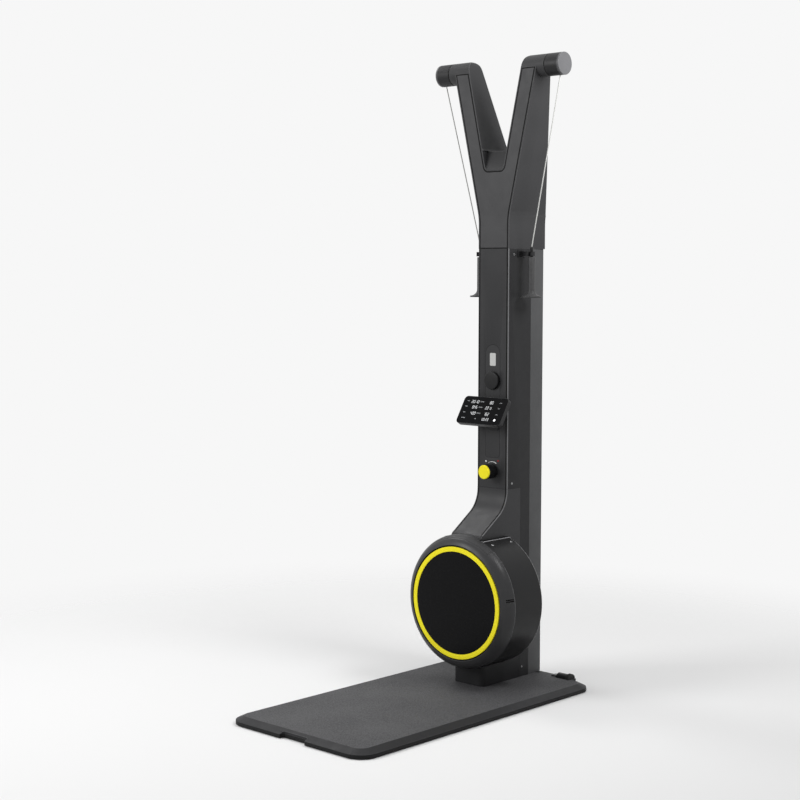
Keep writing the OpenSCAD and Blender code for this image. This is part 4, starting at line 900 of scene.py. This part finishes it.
class SKI_OT_controls(SkiOperator):
    """Fluted knob with its yellow cap, printed marks, reader disc and bare label place"""
    bl_idname = "ski.controls"
    bl_label = "Knob and reader"

    def execute(self, context):
        c = colours()
        axis_z = centre_of("knob_body").z
        self.knob(gloss("knob_plastic", c.disc, 0.34), axis_z, sizes().flutes)
        cover("knob_cap", gloss("knob_cap_plastic", c.accent, 0.34, shine=0.08), 0.0)
        cover("reader_disc", moulded("reader_plastic", c.disc, 0.38), 0.0)
        dial, label = (facing((0, COLUMN_FRONT, height), FORWARD) for height in (axis_z, LABEL_HEIGHT))
        steps, start, turn, inner, outer, swell = 24, -34, 66, 0.0315, 0.0325, 0.0016
        turns = [start + turn * i / steps for i in range(steps + 1)]
        arc = [self.around(outer + swell * i / steps, a) for i, a in enumerate(turns)]
        arc += [self.around(inner, a) for a in turns[::-1]]
        zero, full = (disc_outline(radius, 20, self.around(reach, angle))
                      for radius, reach, angle in ((0.0034, 0.043, -41), (0.0036, 0.045, 35)))
        for name, outline, place, thick, finish, tone in (
                ("zero_mark", zero, dial, 0.0003, "mark_white", (0.75, 0.75, 0.75)),
                ("level_arc", arc, dial, 0.0003, "arc_white", (0.85, 0.85, 0.85)),
                ("full_mark", full, dial, 0.0003, "mark_red", (0.25, 0.02, 0.02)),
                ("label_place", rounded_box(0.026, 0.044, 0.004), label, 0.0004, "label_blank",
                 (0.55, 0.55, 0.54))):
            add_print(name, [outline], place, 0, thick, "machine", printed(finish, tone))
        return {"FINISHED"}

    @staticmethod
    def around(radius, angle):
        """A place on the dial, with the angle in degrees from its top."""
        a = math.radians(angle)
        return radius * math.sin(a), radius * math.cos(a)

    @staticmethod
    def knob(material, axis_z, flutes):
        """The knob's body with fine flutes round its side."""
        reach, flute, steps = KNOB_HIGH.z - axis_z, 0.0007, flutes * 6
        front, back = KNOB_LOW.y, COLUMN_FRONT - 0.0003
        bm = bmesh.new()
        rings = []
        for y, size, depth in ((back, 0.955, 0.0), (back - 0.0015, 1.0, 0.0), (back - 0.004, 1.0, 1.0),
                               (front + 0.005, 1.0, 1.0), (front + 0.0022, 1.0, 0.0),
                               (front + 0.0006, 0.985, 0.0), (front, 0.955, 0.0)):
            ring = []
            for i in range(steps):
                a = 2 * math.pi * i / steps
                r = reach * size - flute * depth * max(0.0, math.cos(flutes * a)) ** 2
                ring.append(bm.verts.new((r * math.sin(a), y, axis_z + r * math.cos(a))))
            rings.append(ring)
        skin(bm, rings)
        bm.faces.new(rings[0])
        bm.faces.new(rings[-1][::-1])
        stem = [(0.0, 0.0), (0.005, 0.0), (0.005, 0.0046), (0.01, 0.0046), (0.01, 0.02), (0.0, 0.02)]
        bm.from_mesh(lathe(stem, facing((0, back, axis_z), (0, 1, 0)), 32))
        stand_in("knob_body", "knob_fluted", mesh_from(bm), material)


class SKI_OT_screws(SkiOperator):
    """Small button-head screws with hexagon sockets"""
    bl_idname = "ski.screws"
    bl_label = "Screws"

    def execute(self, context):
        steel = turned_metal("screw_steel", colours().screw, 0.34)
        out = bmesh.new()
        for low, high in sorted(self.heads(), key=lambda head: tuple(head[0])):
            size, middle = high - low, (low + high) / 2
            axis = min(range(3), key=lambda k: size[k])
            tall, radius = size[axis], max(size) / 2
            sign = 1.0 if axis == 2 or middle[axis] > 0 else -1.0
            base, direction = middle.copy(), Vector((0, 0, 0))
            base[axis] = low[axis] if sign > 0 else high[axis]
            direction[axis] = sign
            if axis == 2 and middle.z > DRUM_SCREW.z:
                side = Vector((math.copysign(1.0, middle.x), 1.0, 1.0))
                base, direction = DRUM_SCREW * side, DRUM_SLOPE * side
                base.y = middle.y
            place = facing(base, direction)
            profile = [(0, 0), (radius, 0), (radius, tall * 0.35), (radius * 0.93, tall * 0.72),
                       (radius * 0.78, tall * 0.95), (radius * 0.66, tall), (radius * 0.5, tall)]
            out.from_mesh(lathe(profile, place, 28))
            self.recess(out, disc_outline(radius * 0.5, 28), disc_outline(radius * 0.42, 6), tall, place)
        stand_in("cover_screws", "screw_heads", mesh_from(out, 25), steel)
        return {"FINISHED"}

    @staticmethod
    def heads():
        """The lowest and highest corner of each head in the CAD node."""
        bm = bmesh.new()
        bm.from_mesh(solid("cover_screws"))
        bmesh.ops.remove_doubles(bm, verts=bm.verts, dist=MERGE)
        found, seen = [], set()
        for vert in bm.verts:
            if vert in seen:
                continue
            island, todo = [], [vert]
            seen.add(vert)
            while todo:
                v = todo.pop()
                island.append(v.co.copy())
                near = {edge.other_vert(v) for edge in v.link_edges} - seen
                seen |= near
                todo += near
            found.append([Vector([end(p[k] for p in island) for k in range(3)]) for end in (min, max)])
        bm.free()
        return found

    @staticmethod
    def recess(bm, rim, socket, tall, place):
        """Closes a screw's face with a hexagon socket."""
        outer, edge, floor = ([bm.verts.new(place @ Vector((x, y, height))) for x, y in outline]
                              for outline, height in ((rim, tall), (socket, tall), (socket, tall * 0.25)))
        count, sides = len(outer), len(edge)
        for i in range(count):
            a, b = (edge[round(k * sides / count) % sides] for k in (i, i + 1))
            bm.faces.new(tuple(dict.fromkeys((outer[i], outer[(i + 1) % count], b, a))))
        skin(bm, (edge, floor))
        bm.faces.new(floor)


class SKI_OT_inside(SkiOperator):
    """Finishes of the frame, flywheel, spools, pulleys and brake inside"""
    bl_idname = "ski.inside"
    bl_label = "Inside"

    def execute(self, context):
        dress(["mast_foot", "mast_tube", "arm_frame", "drive_frame"],
              coated_steel("frame_paint", SLOT_COLOUR["frame_steel"]))
        dress(["flywheel_shaft", "shaft_bearings"], turned_metal("shaft_steel", colours().steel))
        dress(["fan_wheel"], turned_metal("fan_metal", SLOT_COLOUR["fan_metal"], 0.35, (1, 6, 1)))
        dress(["left_spool", "right_spool"], moulded("spool_plastic", SLOT_COLOUR["spool_plastic"]))
        dress(["spring_cans", "magnet_arm"], coated_steel("can_paint", SLOT_COLOUR["can_metal"]))
        dress([side + name for side in SIDES for name in ROLLERS],
              gloss("pulley_plastic", SLOT_COLOUR["pulley_white"], 0.4))
        dress(["brake_cable"], rubber("cable_sheath", SLOT_COLOUR["cable_black"], 0.45))
        return {"FINISHED"}


# The photograph's camera, fitted to the object's corners
CAMERA_PLACE = (3.548875, -3.85949, 1.437829)
CAMERA_TURN = (43.287, 4.554, 0.088)  # azimuth, elevation and roll in degrees
FOCAL_PIXELS, PICTURE_PIXELS, SENSOR = 1606.366, 800, 36.0
FLOOR_RADII = (1.5, 3.0, 5.0, 8.0, 14.0)
FADE_START, FADE_END = 1.0, 2.8  # distances from the middle between which the floor fades
BACKDROP = (0.93, 0.93, 0.93, 1)


class SKI_OT_stage(SkiOperator):
    """Pale floor, soft lights and the camera"""
    bl_idname = "ski.stage"
    bl_label = "Studio"

    def execute(self, context):
        self.camera()
        self.floor()
        self.room()
        s = studio()
        for name, place, target, size, power in (
                ("key_light", (-2.6, -4.2, 3.0), (0, 0.2, 1.3), 2.2, s.key),
                ("left_light", (-2.6, 0.4, 3.4), (0, 0.2, 0.7), 0.85, s.left),
                ("right_light", (1.3, 0.5, 2.4), (0.1, 0.45, 1.9), 0.7, s.right),
                ("top_light", (0.0, 0.1, 5.2), (0, 0.1, 0.0), 3.4, s.top)):
            self.lamp(name, place, target, size, power)
        return {"FINISHED"}

    @staticmethod
    def camera():
        """The photograph's view, with the lens worked out for a picture 800 pixels across, without shift.
        """
        azimuth, elevation, roll = (math.radians(a) for a in CAMERA_TURN)
        data = bpy.data.cameras.new("camera")
        data.sensor_width = SENSOR
        data.lens = SENSOR * FOCAL_PIXELS / PICTURE_PIXELS
        data.clip_start, data.clip_end = 0.1, 60.0
        camera = bpy.data.objects.new("camera", data)
        camera.matrix_world = (Matrix.Translation(CAMERA_PLACE) @ Matrix.Rotation(azimuth, 4, "Z")
                               @ Matrix.Rotation(math.pi / 2 - elevation, 4, "X")
                               @ Matrix.Rotation(roll, 4, "Z"))
        bpy.context.scene.collection.objects.link(camera)
        bpy.context.scene.camera = camera

    @staticmethod
    def floor():
        """A wide pale floor that fades into the white room far from the object."""
        bm = bmesh.new()
        rings = [[bm.verts.new((x, y, 0)) for x, y in disc_outline(radius, 64)] for radius in FLOOR_RADII]
        bm.faces.new(rings[0])
        skin(bm, rings)
        paper = Finish("floor_paper", [studio().paper] * 3, 0.9, shine=0.0)
        fade = paper.node("ShaderNodeMapRange", interpolation_type="SMOOTHSTEP",
                          **{"From Min": FADE_START, "From Max": FADE_END})
        length = paper.node("ShaderNodeVectorMath", operation="LENGTH")
        paper.join(paper.node("ShaderNodeNewGeometry").outputs["Position"], length.inputs[0])
        paper.join(length.outputs["Value"], fade.inputs["Value"])
        mix_shaders(paper.tree, fade.outputs["Result"], paper.shader,
                    paper.node("ShaderNodeBsdfTransparent"), paper.tree.nodes["Material Output"])
        floor = link("studio_floor", mesh_from(bm), None, paper.material)

    @staticmethod
    def room():
        """A white room: the background shows it near full white and the object is lit by it softly."""
        world = bpy.data.worlds.new("white_room")
        bpy.context.scene.world = world
        world.use_nodes = True
        tree = world.node_tree
        tree.nodes.clear()
        rays = add_node(tree, "ShaderNodeLightPath")
        seen = rays.outputs["Is Camera Ray"]
        for kind in ("Is Glossy Ray", "Is Transmission Ray"):
            either = add_node(tree, "ShaderNodeMath", operation="MAXIMUM")
            tree.links.new(seen, either.inputs[0])
            tree.links.new(rays.outputs[kind], either.inputs[1])
            seen = either.outputs["Value"]
        lit = add_node(tree, "ShaderNodeBackground", Color=(1, 1, 1, 1), Strength=studio().room)
        shown = add_node(tree, "ShaderNodeBackground", Color=BACKDROP, Strength=1.0)
        mix_shaders(tree, seen, lit, shown, add_node(tree, "ShaderNodeOutputWorld"))

    @staticmethod
    def lamp(name, place, target, size, power):
        """A square soft light at a place, turned to its target."""
        data = bpy.data.lights.new(name, "AREA")
        data.shape = "RECTANGLE"
        data.size = data.size_y = size
        data.energy = power
        lamp = bpy.data.objects.new(name, data)
        lamp.visible_camera = False
        away = Vector(place) - Vector(target)
        lamp.matrix_world = Matrix.Translation(place) @ away.to_track_quat("Z", "Y").to_matrix().to_4x4()
        bpy.context.scene.collection.objects.link(lamp)


OPERATORS = (SKI_OT_stage, SKI_OT_cords, SKI_OT_platform, SKI_OT_wheels, SKI_OT_column, SKI_OT_head,
             SKI_OT_drum, SKI_OT_swivels, SKI_OT_handles, SKI_OT_display, SKI_OT_controls,
             SKI_OT_screws, SKI_OT_inside)


class SKI_PT_panel(bpy.types.Panel):
    """Lists the pieces and their sizes and colours"""
    bl_label = "Ski trainer"
    bl_idname = "SKI_PT_panel"
    bl_space_type = "VIEW_3D"
    bl_region_type = "UI"
    bl_category = "Ski trainer"

    def draw(self, context):
        for group in (colours(), sizes(), studio()):
            box = self.layout.box()
            for key in group.bl_rna.properties.keys():
                if key not in ("rna_type", "name"):
                    box.prop(group, key)
        for operator in OPERATORS:
            self.layout.operator(operator.bl_idname)


CLASSES = (SkiColours, SkiSizes, SkiStudio, *OPERATORS, SKI_PT_panel)


def register():
    for each in CLASSES:
        bpy.utils.register_class(each)
    bpy.types.Scene.ski_colours = PointerProperty(type=SkiColours)
    bpy.types.Scene.ski_sizes = PointerProperty(type=SkiSizes)
    bpy.types.Scene.ski_studio = PointerProperty(type=SkiStudio)


def unregister():
    del bpy.types.Scene.ski_studio
    del bpy.types.Scene.ski_sizes
    del bpy.types.Scene.ski_colours
    for each in reversed(CLASSES):
        bpy.utils.unregister_class(each)


def main():
    register()
    bpy.context.scene.view_settings.view_transform = "Standard"
    bpy.ops.ski.stage()
    bpy.ops.ski.cords()
    bpy.ops.ski.platform()
    bpy.ops.ski.wheels()
    bpy.ops.ski.column()
    bpy.ops.ski.head()
    bpy.ops.ski.drum()
    bpy.ops.ski.swivels()
    bpy.ops.ski.handles()
    bpy.ops.ski.display()
    bpy.ops.ski.controls()
    bpy.ops.ski.screws()
    bpy.ops.ski.inside()


if __name__ == "__main__":
    main()
